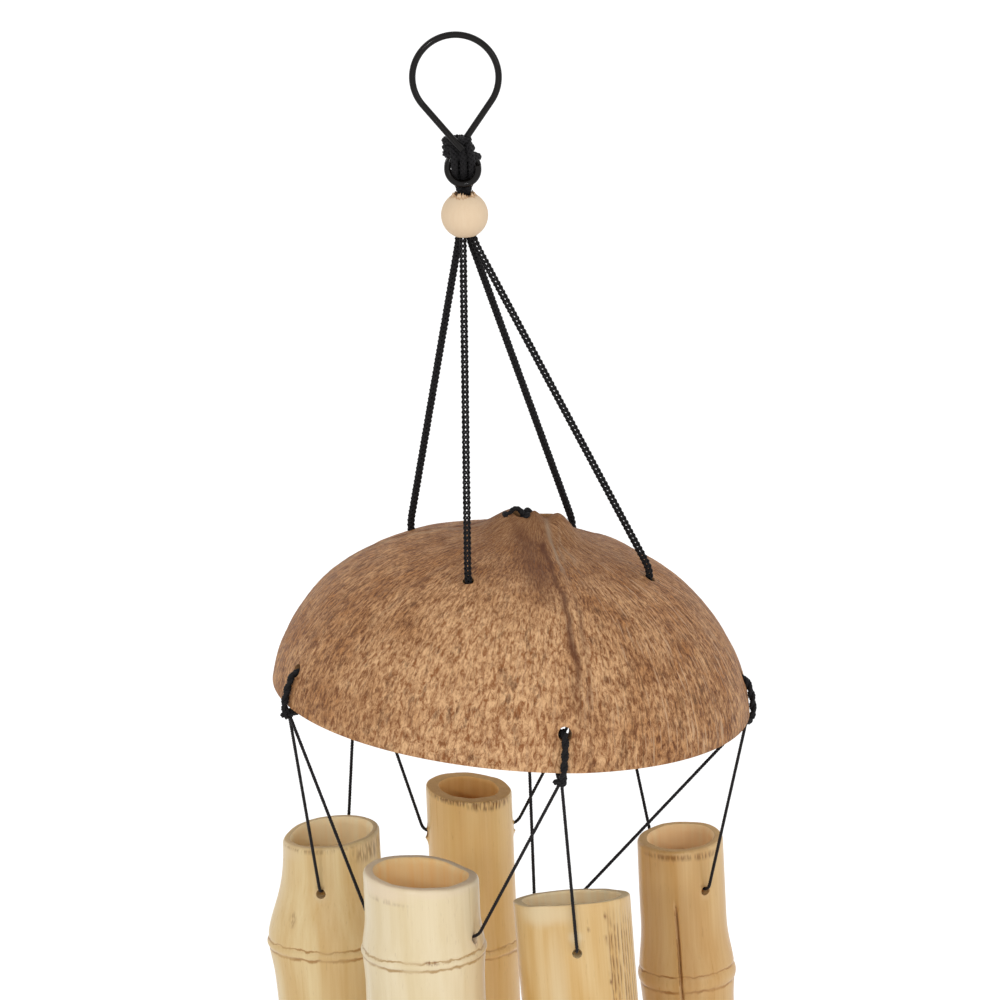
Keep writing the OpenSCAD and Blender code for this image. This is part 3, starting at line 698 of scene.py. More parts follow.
# A random mottle of dark and light tone, pushed to the light tone on the low front as painted light where the shell
# faces the lamps.
mottle_and_painted_light = maths(tree, "ADD", ranged(tree, grainy(tree, nut_mm, 9, 5.0, 0.65), 0.37, 0.63, high=0.7), painted_front_light)
crosswise = stretched(tree, fibre_mm, 1, 1, 7)
grain = grainy(tree, crosswise, 0.85, 6.0, 0.75, 0.5)
deep_tone, light_tone = (mixed(tree, mottle_and_painted_light, *pair) for pair in (("#5F3315", "#91592D"), ("#BD824E", "#EBBC8B")))
colour = mixed(tree, ranged(tree, grain, 0.4, 0.6), deep_tone, light_tone)
pores = ranged(tree, grainy(tree, crosswise, 2.2, 6.0, 0.75), 0.54, 0.66, high=0.75)
colour = mixed(tree, pores, colour, "#5E381D")
fibres = grainy(tree, fibre_mm, 0.7, 3.0, 0.6)
for start, end, shade in ((0.57, 0.66, "#563519"), (0.42, 0.34, "#DDB791")):
    streak = maths(tree, "MULTIPLY", ranged(tree, fibres, start, end, high=0.7), streaky)
    colour = mixed(tree, streak, colour, shade)
# The dark brown goes on the real marks beside the ridges, and as painted shade over the crown.
colour = mixed(tree, dark_marks_and_painted_shade, colour, "#5B3018")
colour = mixed(tree, pale_dab, colour, "#B9A48C")
height = maths(tree, "MULTIPLY_ADD", grain, 1.0, fibres)
feed(tree, shader, {"Base Color": colour, "Normal": bumped(tree, height, 0.5, 0.6),
                    "Roughness": ranged(tree, grain, 0.3, 0.7, 0.5, 0.72), "Specular IOR Level": 0.25})

# Scraped inside and sawn edge: bare brown shell without oil, darker inside, with fine saw grain on the edge
shell_finishes = [oiled_shell]
for name, dark, pale, grain_mm in (("scraped_coconut_inside", "#4A2D18", "#6E4929", 3.0),
                                   ("sawn_coconut_edge", "#7A5230", "#B98D5E", 0.7)):
    finish, tree, shader = start_finish(name)
    scrape = grainy(tree, on_vertices(tree, "nut_mm", "Vector"), grain_mm, 4.0)
    feed(tree, shader, {"Base Color": mixed(tree, scrape, dark, pale), "Normal": bumped(tree, scrape, 0.3, 0.5),
                        "Roughness": 0.7})
    shell_finishes.append(finish)

nut_points = own_place(vectors(shell_mesh.vertices, "co"), nut_place)
turn = np.arctan2(nut_points[:, 1], nut_points[:, 0])
spread = np.hypot(nut_points[:, 0], nut_points[:, 1])
stored(shell_mesh, "nut_mm", nut_points)
along = 62 * np.arctan2(spread, nut_points[:, 2])
stored(shell_mesh, "fibre_mm", np.column_stack([50 * np.cos(turn), 50 * np.sin(turn), 0.06 * along]))
wander = np.array([1.2 * noise.noise(Vector(p) / 5) for p in nut_points])


def ridge_dab(az, offset, width, start, end, power):
    """A soft stripe beside a ridge, from start to end mm out from the crown."""
    beside = spread * np.sin(turn - math.radians(az)) - offset + wander
    along = np.clip(np.minimum((spread - start) / 5, (end - spread) / 12), 0, 1)
    return power * np.exp(-(beside / width) ** 2) * along * (np.cos(turn - math.radians(az)) > 0)


def toward(az, wide):
    """1 on the side of the nut at this azimuth, fading over wide degrees."""
    return np.exp(-(np.degrees(np.angle(np.exp(1j * (turn - math.radians(az))))) / wide) ** 2)


# Painted shade: the crown is darkened, where the low lamps light the top of the shell less.
painted_crown_shade = 0.42 * np.clip(1 - spread / 34, 0, 1)
dark = np.maximum.reduce([painted_crown_shade, ridge_dab(285, -5.0, 4.2, 2, 40, 0.65), ridge_dab(285, -1.2, 0.9, 8, 64, 0.9),
                          ridge_dab(285, 2.4, 0.6, 30, 68, 0.6), ridge_dab(165, 0, 0.8, 6, 64, 0.75),
                          ridge_dab(45, 0, 1.0, 6, 64, 0.6), ridge_dab(215, 4.0, 0.6, 16, 58, 0.45)])
pale = np.maximum.reduce([ridge_dab(285, 2.2, 0.7, 1, 30, 0.55), ridge_dab(285, 4.2, 0.4, 8, 26, 0.3),
                          ridge_dab(292, 4.0, 0.35, 6, 30, 0.25), ridge_dab(165, 1.6, 0.7, 10, 60, 0.3)])
stored(shell_mesh, "dark_marks_and_painted_shade", dark)
stored(shell_mesh, "pale_dab", pale)
# Painted light: the low front of the shell, which faces the lamps and the camera, is made lighter.
stored(shell_mesh, "painted_front_light", 0.75 * toward(262, 34) * np.clip((spread - 26) / 24, 0, 1))
stored(shell_mesh, "streaky", 0.2 + 0.8 * np.maximum(toward(335, 48), toward(80, 60)))

centres = own_place(vectors(shell_mesh.polygons, "center"), nut_place)
normals = own_way(vectors(shell_mesh.polygons, "normal"), nut_place)
facing = (normals * centres).sum(axis=1) / np.linalg.norm(centres, axis=1)
keep("lobed_coconut_shell", shell_mesh, shell_finishes, "canopy", "coconut_shell", "coconut_shell")
dress(shell_mesh, np.where(facing > 0.35, 0, np.where(facing < -0.35, 1, 2)), 40)

# %% [markdown]
# ## Knots and rim ties
# Cords end in small overhand knots. Drawn tight, such a knot is a trefoil: its line can be written with
# sines and cosines, and the same twisted thread is swept along it. Each rim tie is a doubled thread that goes up
# the outside, through its hole, down the inside and under the edge into its knot.

# %% Knots
def knot_line(at, size, turn=(0.0, 0.0, 0.0)):
    """The closed line of an overhand knot, size mm across."""
    t = np.linspace(0, 2 * np.pi, 90)
    trefoil = np.column_stack([np.sin(t) + 2 * np.sin(2 * t), np.cos(t) - 2 * np.cos(2 * t), -1.5 * np.sin(3 * t)])
    spin = Matrix.Rotation(turn[2], 3, "Z") @ Matrix.Rotation(turn[1], 3, "Y") @ Matrix.Rotation(turn[0], 3, "X")
    return trefoil / 3 * size / 2 @ np.array(spin).T + np.array(at)


def plied(line, width, pitch=2.6):
    """The three yarns of a thread of this width along a line."""
    return yarns(line, 0.23 * width, pitch, 3)


PLY = 0.27  # a yarn's radius for each mm of a thread's width
STOP_KNOT_D, STOP_STRAND = 5.6, 1.9
lines = []
for i, (strand, turn, end, yarn_r) in enumerate(HANGERS.values()):
    way = (Vector(end) - Vector(turn)).normalized()
    at = Vector(end) + way * (STOP_KNOT_D / 2 - 0.2)
    lines += plied(knot_line(at, STOP_KNOT_D - STOP_STRAND, (0.4, 0.3 + i, 0.2)), STOP_STRAND)
    lines += plied(bent_line([at, at + way * 3 + Vector((0.6, 0.3, 0)), at + way * 6], 3, CORD_STEP), STOP_STRAND)
keep("stop_knots_braid", swept("stop_knots", lines, PLY * STOP_STRAND), [braided_polyester], "canopy", "black_cord",
     "hanger_stop_knots")

KNOT_STRAND = 1.4
crown = np.array(crown_knot_at) + (1.4, 0, -0.3)
lines = plied(knot_line(crown, 2.9, (0.5, 0.2, 0)), 1.5)
lines += plied(knot_line(crown + (-4.6, 0, -0.4), 2.1, (1.2, 0.2, 0.4)), KNOT_STRAND)
eye = [crown + (-2.4 + 1.7 * math.cos(a), -0.3, -0.2 + 2.0 * math.sin(a))
       for a in np.linspace(-0.6, 2 * math.pi - 0.4, 14)]
lines += plied(bent_line(eye, 3, 0.2), 1.3)
keep("crown_knot_twist", swept("crown_knot", lines, PLY * KNOT_STRAND), [braided_polyester], "canopy", "black_cord",
     "crown_knot")

lines = plied(knot_line(striker_knot_at, KNOT_D - 1.5, (0.3, 0.2, 0)), 1.5)
tail = [striker_knot_at + Vector(step) for step in ((0, 0, 0), (1.2, -0.6, -2.6), (1.6, -1.0, -4.4))]
lines += plied(bent_line(tail, 2, 0.2), 1.2)
keep("striker_knot_twist", swept("striker_knot", lines, PLY * KNOT_STRAND), [waxed_thread], "striker", "black_cord",
     "striker_knot")

# %% Rim ties
TIE_STRAND, TIE_TWIST, TIE_PITCH = 1.34, 0.42, 6.0
TIE_KNOT_D, TIE_OFF = 3.8, 1.15  # the tie's middle lies off the wall by this much
for tie, az_deg in TIES.items():
    az = math.radians(az_deg)
    edge = saw_height(az)
    hole = edge + RIM_HOLE_UP - 0.45
    half = (edge + hole) / 2
    outside = [(edge, TIE_OFF, -0.7), (half, TIE_OFF, 0), (hole, TIE_OFF, -1.0), (hole, 0.6, 0)]
    inside = [(hole, 0.6, 0), (hole, TIE_OFF, -1.0), (half, TIE_OFF, 0), (edge, TIE_OFF, 0), (edge, 0.5, -TIE_OFF)]
    knot = (wall_radius(az, edge) - 0.52, edge - TIE_KNOT_D / 2 - 0.2)
    route = [knot] + [(wall_radius(az, z) + off, z + up) for z, off, up in outside]
    route += [(wall_radius(az, z, SHELL_WALL) - off, z + up) for z, off, up in inside] + [knot]
    spoke = Vector((math.cos(az), math.sin(az), 0))
    world = [nut_place @ (spoke * r + Vector((0, 0, z))) for r, z in route]
    lines = []
    for strand in yarns(bent_line(world, 1.6, 0.22), TIE_TWIST, TIE_PITCH, 2):
        lines += plied(strand, TIE_STRAND, 2.2)
    at = nut_place @ (spoke * knot[0] + Vector((0, 0, knot[1])))
    lines += plied(knot_line(at, TIE_KNOT_D - 1.2, (0.5, 0.4, az)), 1.15)
    tail = [at, at + Vector((-1.2, -0.8, 0.2)), at + Vector((-1.9, -1.1, -0.3))]
    lines += plied(bent_line(tail, 1, 0.2), TIE_STRAND)
    node = "rim_tie_" + tie
    keep(node + "_twist", swept(node, lines, PLY * TIE_STRAND), [braided_polyester], "canopy", "black_cord", node)

# %% [markdown]
# ## Bamboo tubes
# Each tube is a piece of culm with a growth ring, closed inside by its partition. Two profiles are spun round the
# axis: one goes from the partition up the inside, over the rim and down the outside, the other from below the
# partition to the foot. The top is sawn a little askew, the foot on a slant, and the thread holes are drilled. One
# table holds what differs from tube to tube.

# %% The tubes' table
# wall: thickness; down: holes and ring below the top; tilt and nod: top saw cut; swell: ring, its reach above the
# ring, and foot; band: between the ring's two lines; worn: width and height of the rim's rubbed edge; lean; skin,
# sawn and inside colours, each dark and light. The inside colours are pushed bright as painted light in the bore.
TUBES = {
    "left_rear": dict(
        wall=2.4, length=232, hole_down=12.0, ring_down=30.2, tilt=4, nod=-1, swell=2.6, reach=26, foot=2.3, band=2.6,
        worn=(0.9, 1.1), lean=0, slot="bamboo_gold", skin=("#DAB77C", "#EBD3A1"), sawn=("#D2B082", "#E4CBA0"),
        inside=("#FFDEA8", "#FFEDC4")),
    "left_front": dict(
        wall=3.2, length=212, hole_down=15.0, ring_down=20.4, tilt=-5, nod=1, swell=1.0, reach=10, foot=0.5, band=2.2,
        worn=(0.9, 1.5), lean=0, slot="bamboo_cream", skin=("#E4CFA4", "#F0DFBC"), sawn=("#E2C9A6", "#EED9BC"),
        inside=("#FFD08A", "#FFE3AE")),
    # The rear tube's skin colours are lightened as painted light, making up for the shade that the tubes in front and
    # the shell cast on it.
    "rear": dict(
        wall=3.8, length=252, hole_down=11.2, ring_down=45.2, tilt=-6, nod=-2, swell=0.5, reach=10, foot=0.2, band=2.6,
        worn=(0.5, 0.7), lean=0, slot="bamboo_tan", skin=("#E6BB76", "#F4D194"), sawn=("#BE905A", "#D8AE76"),
        inside=("#E2AA62", "#F0C07C")),
    "right_front": dict(
        wall=2.6, length=202, hole_down=8.4, ring_down=48.0, tilt=-1, nod=15.5, swell=0.6, reach=10, foot=0.3, band=3.0,
        worn=(0.4, 0.5), lean=4, slot="bamboo_gold", skin=("#D3A763", "#E6C792"), sawn=("#DCC090", "#EAD6AE"),
        inside=("#FFE2B0", "#FFF0CC")),
    "right_rear": dict(
        wall=3.0, length=226, hole_down=11.8, ring_down=38.5, tilt=0.5, nod=-4, swell=1.3, reach=16, foot=0.9, band=4.4,
        worn=(1.0, 1.0), lean=-2, slot="bamboo_tan", skin=("#D0A264", "#E2BF88"), sawn=("#CBA16C", "#DFBC8A"),
        inside=("#FCCF96", "#FFE0AE")),
}
print(len(TUBES), "tubes in the table")

# %% [markdown]
# Bamboo skin is waxy and smooth, with long fine fibres, small brown dashes and a darker line at the growth ring.
# Its pattern is read from each tube's own coordinates, so it leans and hangs with the tube. The sawn end shows the
# ends of the fibres as dots, and the inside is a thin silky film, its colour pushed bright as painted light.

# %% Bamboo finishes
def bamboo_skin(tube, facts):
    """Waxed culm skin: a soft shine, long fibres, and brown scars on the two lines of the growth ring."""
    finish, tree, shader = start_finish("bamboo_skin_" + tube)
    culm = on_vertices(tree, "culm_mm", "Vector")
    ring_mm, stain, pale = (on_vertices(tree, name) for name in ("ring_mm", "stain", "pale"))
    short = stretched(tree, culm, 1, 1, 0.16)
    fibre = grainy(tree, stretched(tree, culm, 1, 1, 0.02), 0.9, 4.0, 0.65)
    cloud = grainy(tree, short, 7, 2.0)
    dash = grainy(tree, short, 0.55, 1.0)
    tone = ranged(tree, maths(tree, "MULTIPLY_ADD", fibre, 0.45, cloud), 0.5, 0.95)
    colour = mixed(tree, tone, *facts["skin"])
    colour = mixed(tree, ranged(tree, dash, 0.68, 0.76, high=0.14), colour, "#8A5A2A")
    wobbled = maths(tree, "MULTIPLY_ADD", grainy(tree, culm, 3, 3.0), 2.0, ring_mm)
    broken = ranged(tree, cloud, 0.3, 0.55, 0.35, 0.95)
    shade = [c * k for c, k in zip(linear(facts["skin"][0]), (0.6, 0.47, 0.34, 1.0))]
    for line_at, width in ((1.0 + facts["band"] / 2, 0.34), (1.0 - facts["band"] / 2, 0.6)):
        gap = maths(tree, "ABSOLUTE", maths(tree, "SUBTRACT", wobbled, line_at))
        scar = maths(tree, "MULTIPLY", ranged(tree, gap, width, 0.3 * width), broken)
        colour = mixed(tree, scar, colour, shade)
    # Pale dabs show scraped or chipped skin; on the right front tube one long pale stripe is a painted highlight.
    colour = mixed(tree, pale, colour, facts["sawn"][1])
    frayed = maths(tree, "MULTIPLY", stain, ranged(tree, dash, 0.35, 0.6))
    feed(tree, shader, {"Base Color": mixed(tree, frayed, colour, "#7B4A20"), "Normal": bumped(tree, fibre, 0.08, 0.3),
                        "Roughness": ranged(tree, fibre, 0.3, 0.7, 0.26, 0.4), "Specular IOR Level": 0.35})
    return finish


def bamboo_sawn(tube, facts):
    """Sawn end grain: matt, with the dark dots of the fibre bundles 0.6 mm apart."""
    finish, tree, shader = start_finish("bamboo_sawn_" + tube)
    culm = on_vertices(tree, "culm_mm", "Vector")
    cell = add_node(tree, "TexVoronoi", {"Vector": culm, "Scale": 1 / 0.6}).outputs["Distance"]
    cloud = grainy(tree, culm, 2.5, 4.0)
    colour = mixed(tree, cloud, *facts["sawn"])
    colour = mixed(tree, ranged(tree, cell, 0.42, 0.18, high=0.65), colour, facts["sawn"][0])
    feed(tree, shader, {"Base Color": colour, "Normal": bumped(tree, cloud, 0.25, 0.6), "Roughness": 0.75,
                        "Specular IOR Level": 0.15})
    return finish


def bamboo_inside_painted_light(tube, facts):
    """The silky film inside a culm: warm, a little glossy, with long pale fibres, in colours pushed bright as painted
    light.
    """
    finish, tree, shader = start_finish("bamboo_inside_painted_light_" + tube)
    film = grainy(tree, stretched(tree, on_vertices(tree, "culm_mm", "Vector"), 1, 1, 0.03), 1.6, 3.0)
    feed(tree, shader, {"Base Color": mixed(tree, ranged(tree, film, 0.2, 0.8), *facts["inside"]),
                        "Normal": bumped(tree, film, 0.08, 0.3), "Roughness": 0.55, "Specular IOR Level": 0.15})
    return finish


def bamboo_finishes(tube, facts):
    return [finish(tube, facts) for finish in (bamboo_skin, bamboo_sawn, bamboo_inside_painted_light)]


print("bamboo finishes ready")

# %% [markdown]
# No two tubes are alike. Dabs of brown and of pale skin are placed by azimuth and by depth below the rim, where
# the real tubes have stains, frayed fibres, scraped patches and stripes. The long pale stripe on the front left of
# the right front tube is a painted highlight.

# %% Dabs on the tubes
# Azimuth in degrees (-90 faces the camera), depth below the rim, half width and half height in mm, strength
STAINS = {
    "left_rear": [(-35, 3.6, 7, 2.6, 0.6), (-136, 20, 1.1, 1.9, 0.6),
                  (-110, 1.0, 14, 0.5, 0.5), (-104, 11.2, 1.2, 0.7, 0.7)],
    "left_front": [(-82, 19.4, 1.7, 0.6, 0.8), (-30, 15, 0.8, 2.2, 0.7), (-135, 4.4, 8, 0.4, 0.4)],
    "rear": [(-60, 1.1, 7.0, 1.4, 0.95), (-95, 0.6, 16, 0.7, 0.8),
             (-172, 11.5, 1.6, 2.6, 0.8), (8, 11.5, 1.6, 2.6, 0.8)],
    "right_front": [(-57.5, 4, 0.5, 0.9, 0.8), (-76, 7, 0.4, 0.6, 0.6),
                    (-58, 10.5, 0.6, 1.0, 0.7), (-56, 22.5, 0.6, 0.9, 0.9)],
    "right_rear": [(-100, 1.8, 10, 0.8, 0.7), (-55, 2.2, 5, 0.9, 0.6), (-62, 11.0, 1.3, 0.9, 0.5)],
}
PALES_AND_HIGHLIGHT = {
    "left_rear": [(-150, 2, 5, 2.2, 0.5), (-104, 12.9, 1.8, 1.5, 0.6)],
    "left_front": [(-135, 1.8, 9, 2.6, 0.7), (-75, 1.0, 13, 1.3, 0.5), (-30, 15.6, 1.8, 1.6, 0.5)],
    "rear": [(-115, 0.6, 4, 0.8, 0.4), (-35, 0.4, 3, 1.0, 0.6)],
    # On the right front tube, the dab at -109 degrees, 32 mm down and 28 mm tall is a painted highlight where the key
    # lamp catches it.
    "right_front": [(-122, 2.2, 8.0, 3.6, 0.7), (-109, 32, 2.6, 28, 0.45),
                    (-6, 24, 1.6, 28, 0.5), (-89, 9.0, 1.9, 1.7, 0.6)],
    "right_rear": [(-60, 13.2, 1.4, 1.3, 0.6)],
}
# Bulges and dents of the skin: azimuth, height above the ring, half width, half height and rise. A branch bud sits on
# two of the rings, the drill left burrs on the rear tube, and the other holes are dented.
BULGES = {
    "left_rear": [(185, 2.0, 9, 9, 1.4), (182, -6, 18, 24, 1.5), (-103.6, 17.7, 1.5, 1.5, -0.35)],
    "left_front": [(-30, 4.9, 1.5, 1.5, -0.35)],
    "rear": [(188, 32.6, 1.0, 1.9, 1.1), (8, 32.6, 1.0, 1.9, 1.1)],
    "right_front": [(-89, 39.1, 1.6, 1.6, -0.35), (-122, 46.5, 8, 4, -0.6)],
    "right_rear": [(-8, 3.25, 4.5, 6, 0.3), (180, 18, 9, 30, 0.6), (-60, 24.6, 1.4, 2.2, -0.5)],
}
# Where the rim is worn down: azimuth, half width in degrees, drop
DIPS = {"left_rear": [(172, 26, 0.7)], "left_front": [(38, 26, 1.0)], "right_front": [(-140, 30, 0.4)]}
# Long splits: azimuth at their top and at their foot, depths of both, half width and depth of the split
SPLITS = {
    "right_rear": [(-103.5, -96, 15, 62, 0.3, 1.5)],
    "right_front": [(az, az, 1.5, 90, 0.3, 0.35) for az in (-54, -51, -46.5, -42, -36, -31.5, -27, -21, -15)],
}
SPLIT_DARK = {"right_rear": 2.5, "right_front": 0.8}  # how strongly a tube's splits are stained
print(sum(map(len, STAINS.values())), "stains")

# %% One tube
HANG_RISE, PARTITION_T, DISH, FOOT_CUT = 0.525, 3.4, 2.0, math.radians(38)
SWELL_DOWN, COLUMNS, TUBE_HOLE_D = 9.0, 240, 2.6


def ease(x):
    x = min(1.0, max(0.0, x))
    return x * x * (3 - 2 * x)


def culm_radius(z, ring, top_r, facts):
    """Outer radius at a height: the swelling at the growth ring, its bead, and the nicks above and below it."""
    up = z - ring
    ring_r, foot_r = top_r + facts["swell"], top_r + facts["foot"]
    if up > 0:
        radius = top_r + facts["swell"] * ease(1 - up / facts["reach"]) ** 1.3
    else:
        radius = foot_r + (ring_r - foot_r) * ease(1 + up / SWELL_DOWN)
    half = facts["band"] / 2
    nicks = sum(deep * math.exp(-((up - side * half) / 0.4) ** 2) for side, deep in ((1, 0.25), (-1, 0.18)))
    return radius + 0.4 * math.exp(-(up / (0.8 * half)) ** 2) - nicks


def spun_culm(tube, facts):
    """The culm in its own frame, in mm: its thread's middle is the origin and its top is up."""
    top_r = TUBE_D[tube] / 2
    top = facts["hole_down"] + HANG_RISE
    worn_w, worn_h = facts["worn"]
    ring, foot = top - facts["ring_down"], top - facts["length"]
    bore_r, foot_bore_r = top_r - facts["wall"], top_r + facts["foot"] - facts["wall"]
    rows = [np.arange(top - worn_h - 0.4, top - 7, -0.6), np.arange(top - 7, ring - 14, -1.1),
            np.arange(ring + 5, ring - 4, -0.3), np.arange(ring - 14, foot - 11, -7.0)]  # past the foot cut
    heights = np.unique(np.round(np.concatenate(rows), 2))[::-1]
    outer = [(culm_radius(z, ring, top_r, facts), z) for z in heights]
    inner = [(bore_r, z) for z in np.linspace(top - 2 * worn_w - 0.3, ring + PARTITION_T, 14)]
    bends = np.radians((0, 25, 50, 75))
    eased = [(bore_r + worn_w * (1 - math.cos(a)), top - 2 * worn_w * (1 - math.sin(a))) for a in bends]
    under = [(foot_bore_r, z) for z in np.linspace(ring - 2 * DISH, foot - 4, 16)]
    rim = [(bore_r + worn_w + (facts["wall"] - 2 * worn_w) * s, top) for s in (0, 0.33, 0.67)]
    wall = [(0, ring + PARTITION_T - DISH), (0.6 * bore_r, ring + PARTITION_T - 0.7 * DISH)] + inner[::-1]
    rubbed = [(top_r - worn_w * (1 - math.sin(a)), top - worn_h * (1 - math.cos(a))) for a in bends]
    wall += eased + rim + rubbed + outer
    floor_up = [(0, ring - DISH), (0.6 * foot_bore_r, ring - 1.3 * DISH)] + under
    bm = spun([wall, floor_up], COLUMNS, 0.002)
    out = joint_at(tube + "_tilt") - nut_place.translation
    out = Vector((out.x, out.y, 0)).normalized()
    heel = Vector((0, 0, foot)) - out * (top_r + facts["foot"])
    slant = Vector((0, 0, 1)) * math.cos(FOOT_CUT) - out * math.sin(FOOT_CUT)
    bmesh.ops.bisect_plane(bm, geom=bm.verts[:] + bm.edges[:] + bm.faces[:], plane_co=heel, plane_no=slant,
                           clear_inner=True, dist=0.0001)
    bmesh.ops.bridge_loops(bm, edges=[e for e in bm.edges if e.is_boundary])
    bmesh.ops.recalc_face_normals(bm, faces=bm.faces)
    return bm, top, ring


def askew(facts, x, y):
    """How far the top saw cut lies above its middle at a point of the section."""
    return x * math.tan(math.radians(facts["tilt"])) - y * math.tan(math.radians(facts["nod"]))


def split_line(split, depth):
    """Azimuth of a split and its strength, 0 to 1, at a depth below the rim."""
    top_az, foot_az, start, end = split[:4]
    share = np.clip((depth - start) / (end - start), 0, 1)
    power = np.clip(12 * share, 0, 1) * np.clip(12 * (1 - share), 0, 1)
    return np.radians(top_az + (foot_az - top_az) * share), power


def apart(az, other):
    """The turn from one azimuth to another, half a turn at most."""
    return math.remainder(az - other, 2 * math.pi)


def worn_culm(bm, tube, facts, top, ring):
    """Sways the spun walls a little, as a grown culm is: out of round, with buds and splits, and sawn askew."""
    seed = 7.3 * list(TUBES).index(tube)
    for v in bm.verts:
        x, y, z = v.co
        radius = math.hypot(x, y)
        if radius < 1:
            continue
        az = math.atan2(y, x)
        for split in SPLITS.get(tube, [])[:1]:  # turned a little, so that a column of faces follows the split
            az += float(split_line(split, top - z)[0]) - math.radians(split[0])
        spoke = Vector((math.cos(az), math.sin(az), 0))
        sway = 0.16 * noise.noise((1.5 * spoke.x + seed, 1.5 * spoke.y, 0.02 * z))
        if radius > TUBE_D[tube] / 2 - 1:
            for bulge_az, up, wide, tall, rise in BULGES.get(tube, []):
                off = apart(az, math.radians(bulge_az)) * radius
                sway += rise * math.exp(-(off / wide) ** 2 - ((z - ring - up) / tall) ** 2)
            for split in SPLITS.get(tube, []):
                split_az, power = split_line(split, top - z)
                off = apart(az, float(split_az)) * radius
                sway -= split[5] * power * math.exp(-(off / split[4]) ** 2)
        wave = sum(h * noise.noise((k * spoke.x, k * spoke.y, seed)) for h, k in ((0.22, 2.2), (0.06, 7)))
        for dip_az, wide, drop in DIPS.get(tube, []):
            wave -= drop * math.exp(-(apart(az, math.radians(dip_az)) / math.radians(wide)) ** 2)
        near_top = ease((z - top + 9) / 8)
        x, y = radius * spoke.x, radius * spoke.y
        v.co = spoke * (radius + sway) + Vector((0, 0, z + near_top * (askew(facts, x, y) + wave)))


def dabbed(dabs, az, depth, radius):
    """The strength of a list of dabs at each vertex."""
    total = np.zeros(len(az))
    for dab_az, dab_depth, wide, tall, power in dabs:
        off = np.angle(np.exp(1j * (az - math.radians(dab_az)))) * radius
        total = np.maximum(total, power * np.exp(-((off / wide) ** 2 + ((depth - dab_depth) / tall) ** 2) ** 2))
    return total


print("tube helpers ready")

# %% Five tubes
for tube, facts in TUBES.items():
    bm, top, ring = spun_culm(tube, facts)
    worn_culm(bm, tube, facts, top, ring)
    hang = joint_at(tube + "_tilt")
    across = -Vector(joints[tube + "_tilt"]["axis"])
    chord = -Vector(joints[tube + "_swing"]["axis"])
    chord_az = math.atan2(chord.y, chord.x)
    lean = (Matrix.Rotation(chord_az, 4, "Z") @ Matrix.Rotation(math.radians(-facts["lean"]), 4, "Y")
            @ Matrix.Rotation(-chord_az, 4, "Z"))
    tube_place = Matrix.Translation(hang) @ lean
    mesh = meshed(bm, "tube_" + tube, tube_place)
    hole_at = tube_place @ Vector((0, 0, -HANG_RISE))
    mesh = drilled(mesh, [(hole_at, across, TUBE_HOLE_D, 2 * TUBE_D[tube])])

    local = own_place(vectors(mesh.vertices, "co"), tube_place)
    az, radius = np.arctan2(local[:, 1], local[:, 0]), np.hypot(local[:, 0], local[:, 1])
    depth = top + askew(facts, local[:, 0], local[:, 1]) - local[:, 2]
    stored(mesh, "culm_mm", local)
    stored(mesh, "ring_mm", local[:, 2] - ring)
    stain = dabbed(STAINS[tube], az, depth, radius)
    for split in SPLITS.get(tube, []):
        split_az, power = split_line(split, depth)
        off = np.angle(np.exp(1j * (az - split_az))) * radius
        stain = np.maximum(stain, SPLIT_DARK[tube] * power * np.exp(-(off / split[4]) ** 2))
    stored(mesh, "stain", stain)
    stored(mesh, "pale", dabbed(PALES_AND_HIGHLIGHT[tube], az, depth, radius))

    centre = own_place(vectors(mesh.polygons, "center"), tube_place)
    normal = own_way(vectors(mesh.polygons, "normal"), tube_place)
    face_r = np.hypot(centre[:, 0], centre[:, 1])
    outward = (normal[:, :2] * centre[:, :2]).sum(axis=1) / np.maximum(face_r, 1e-6)
    steep = np.where(centre[:, 2] > ring, 0.5, 0.75)  # the slanted foot cut leans farther than the rubbed rim
    face_finish = np.where(outward > steep, 0, np.where(outward < -steep, 2, 1))
    inner_floor = (np.abs(centre[:, 2] - ring) < 8) & (face_r < TUBE_D[tube] / 2 - facts["wall"] - 0.3)
    face_finish = np.where(inner_floor, 2, face_finish)
    keep("culm_" + tube, mesh, bamboo_finishes(tube, facts), "chime_" + tube, facts["slot"], "tube_" + tube)
    dress(mesh, face_finish, 38)

# %% [markdown]
# ## Striker and wind catcher
# They hang below the picture. The striker is a turned wooden disc with a full round edge, spun from half its
# section. The catcher is a slat split from a culm: it keeps the curve of the wall, and its foot is round.

# %% Striker
# Turned beech: warm brown with straight rays and a smooth, hand-rubbed edge
turned_beech, tree, shader = start_finish("turned_beech")
grain = grainy(tree, stretched(tree, object_place(tree), 0.1, 1.0, 1.0), 1.4 * MM, 5.0)
feed(tree, shader, {"Base Color": mixed(tree, ranged(tree, grain, 0.32, 0.68), "#A87343", "#D3A671"),
                    "Normal": bumped(tree, grain, 0.1, 0.5), "Roughness": 0.45})

STRIKER_D, STRIKER_T, STRIKER_BORE, BORE_BREAK = 40.0, 8.0, 0.78, 0.5
striker_lo, striker_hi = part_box("striker")
striker_mid = (striker_lo + striker_hi) / 2 / MM
edge_r = STRIKER_T / 2
section = [(STRIKER_BORE + BORE_BREAK, edge_r), (STRIKER_D / 4, edge_r)]
section += [(STRIKER_D / 2 - edge_r + edge_r * math.sin(a), edge_r * math.cos(a)) for a in np.linspace(0, math.pi, 20)]
section += [(STRIKER_D / 4, -edge_r), (STRIKER_BORE + BORE_BREAK, -edge_r), (STRIKER_BORE, BORE_BREAK - edge_r),
            (STRIKER_BORE, edge_r - BORE_BREAK)]
bm = spun([section], 128, 0.001, closed=True)
bmesh.ops.recalc_face_normals(bm, faces=bm.faces)
striker_mesh = meshed(bm, "striker", Matrix.Translation(striker_mid))
smooth(striker_mesh, 40)
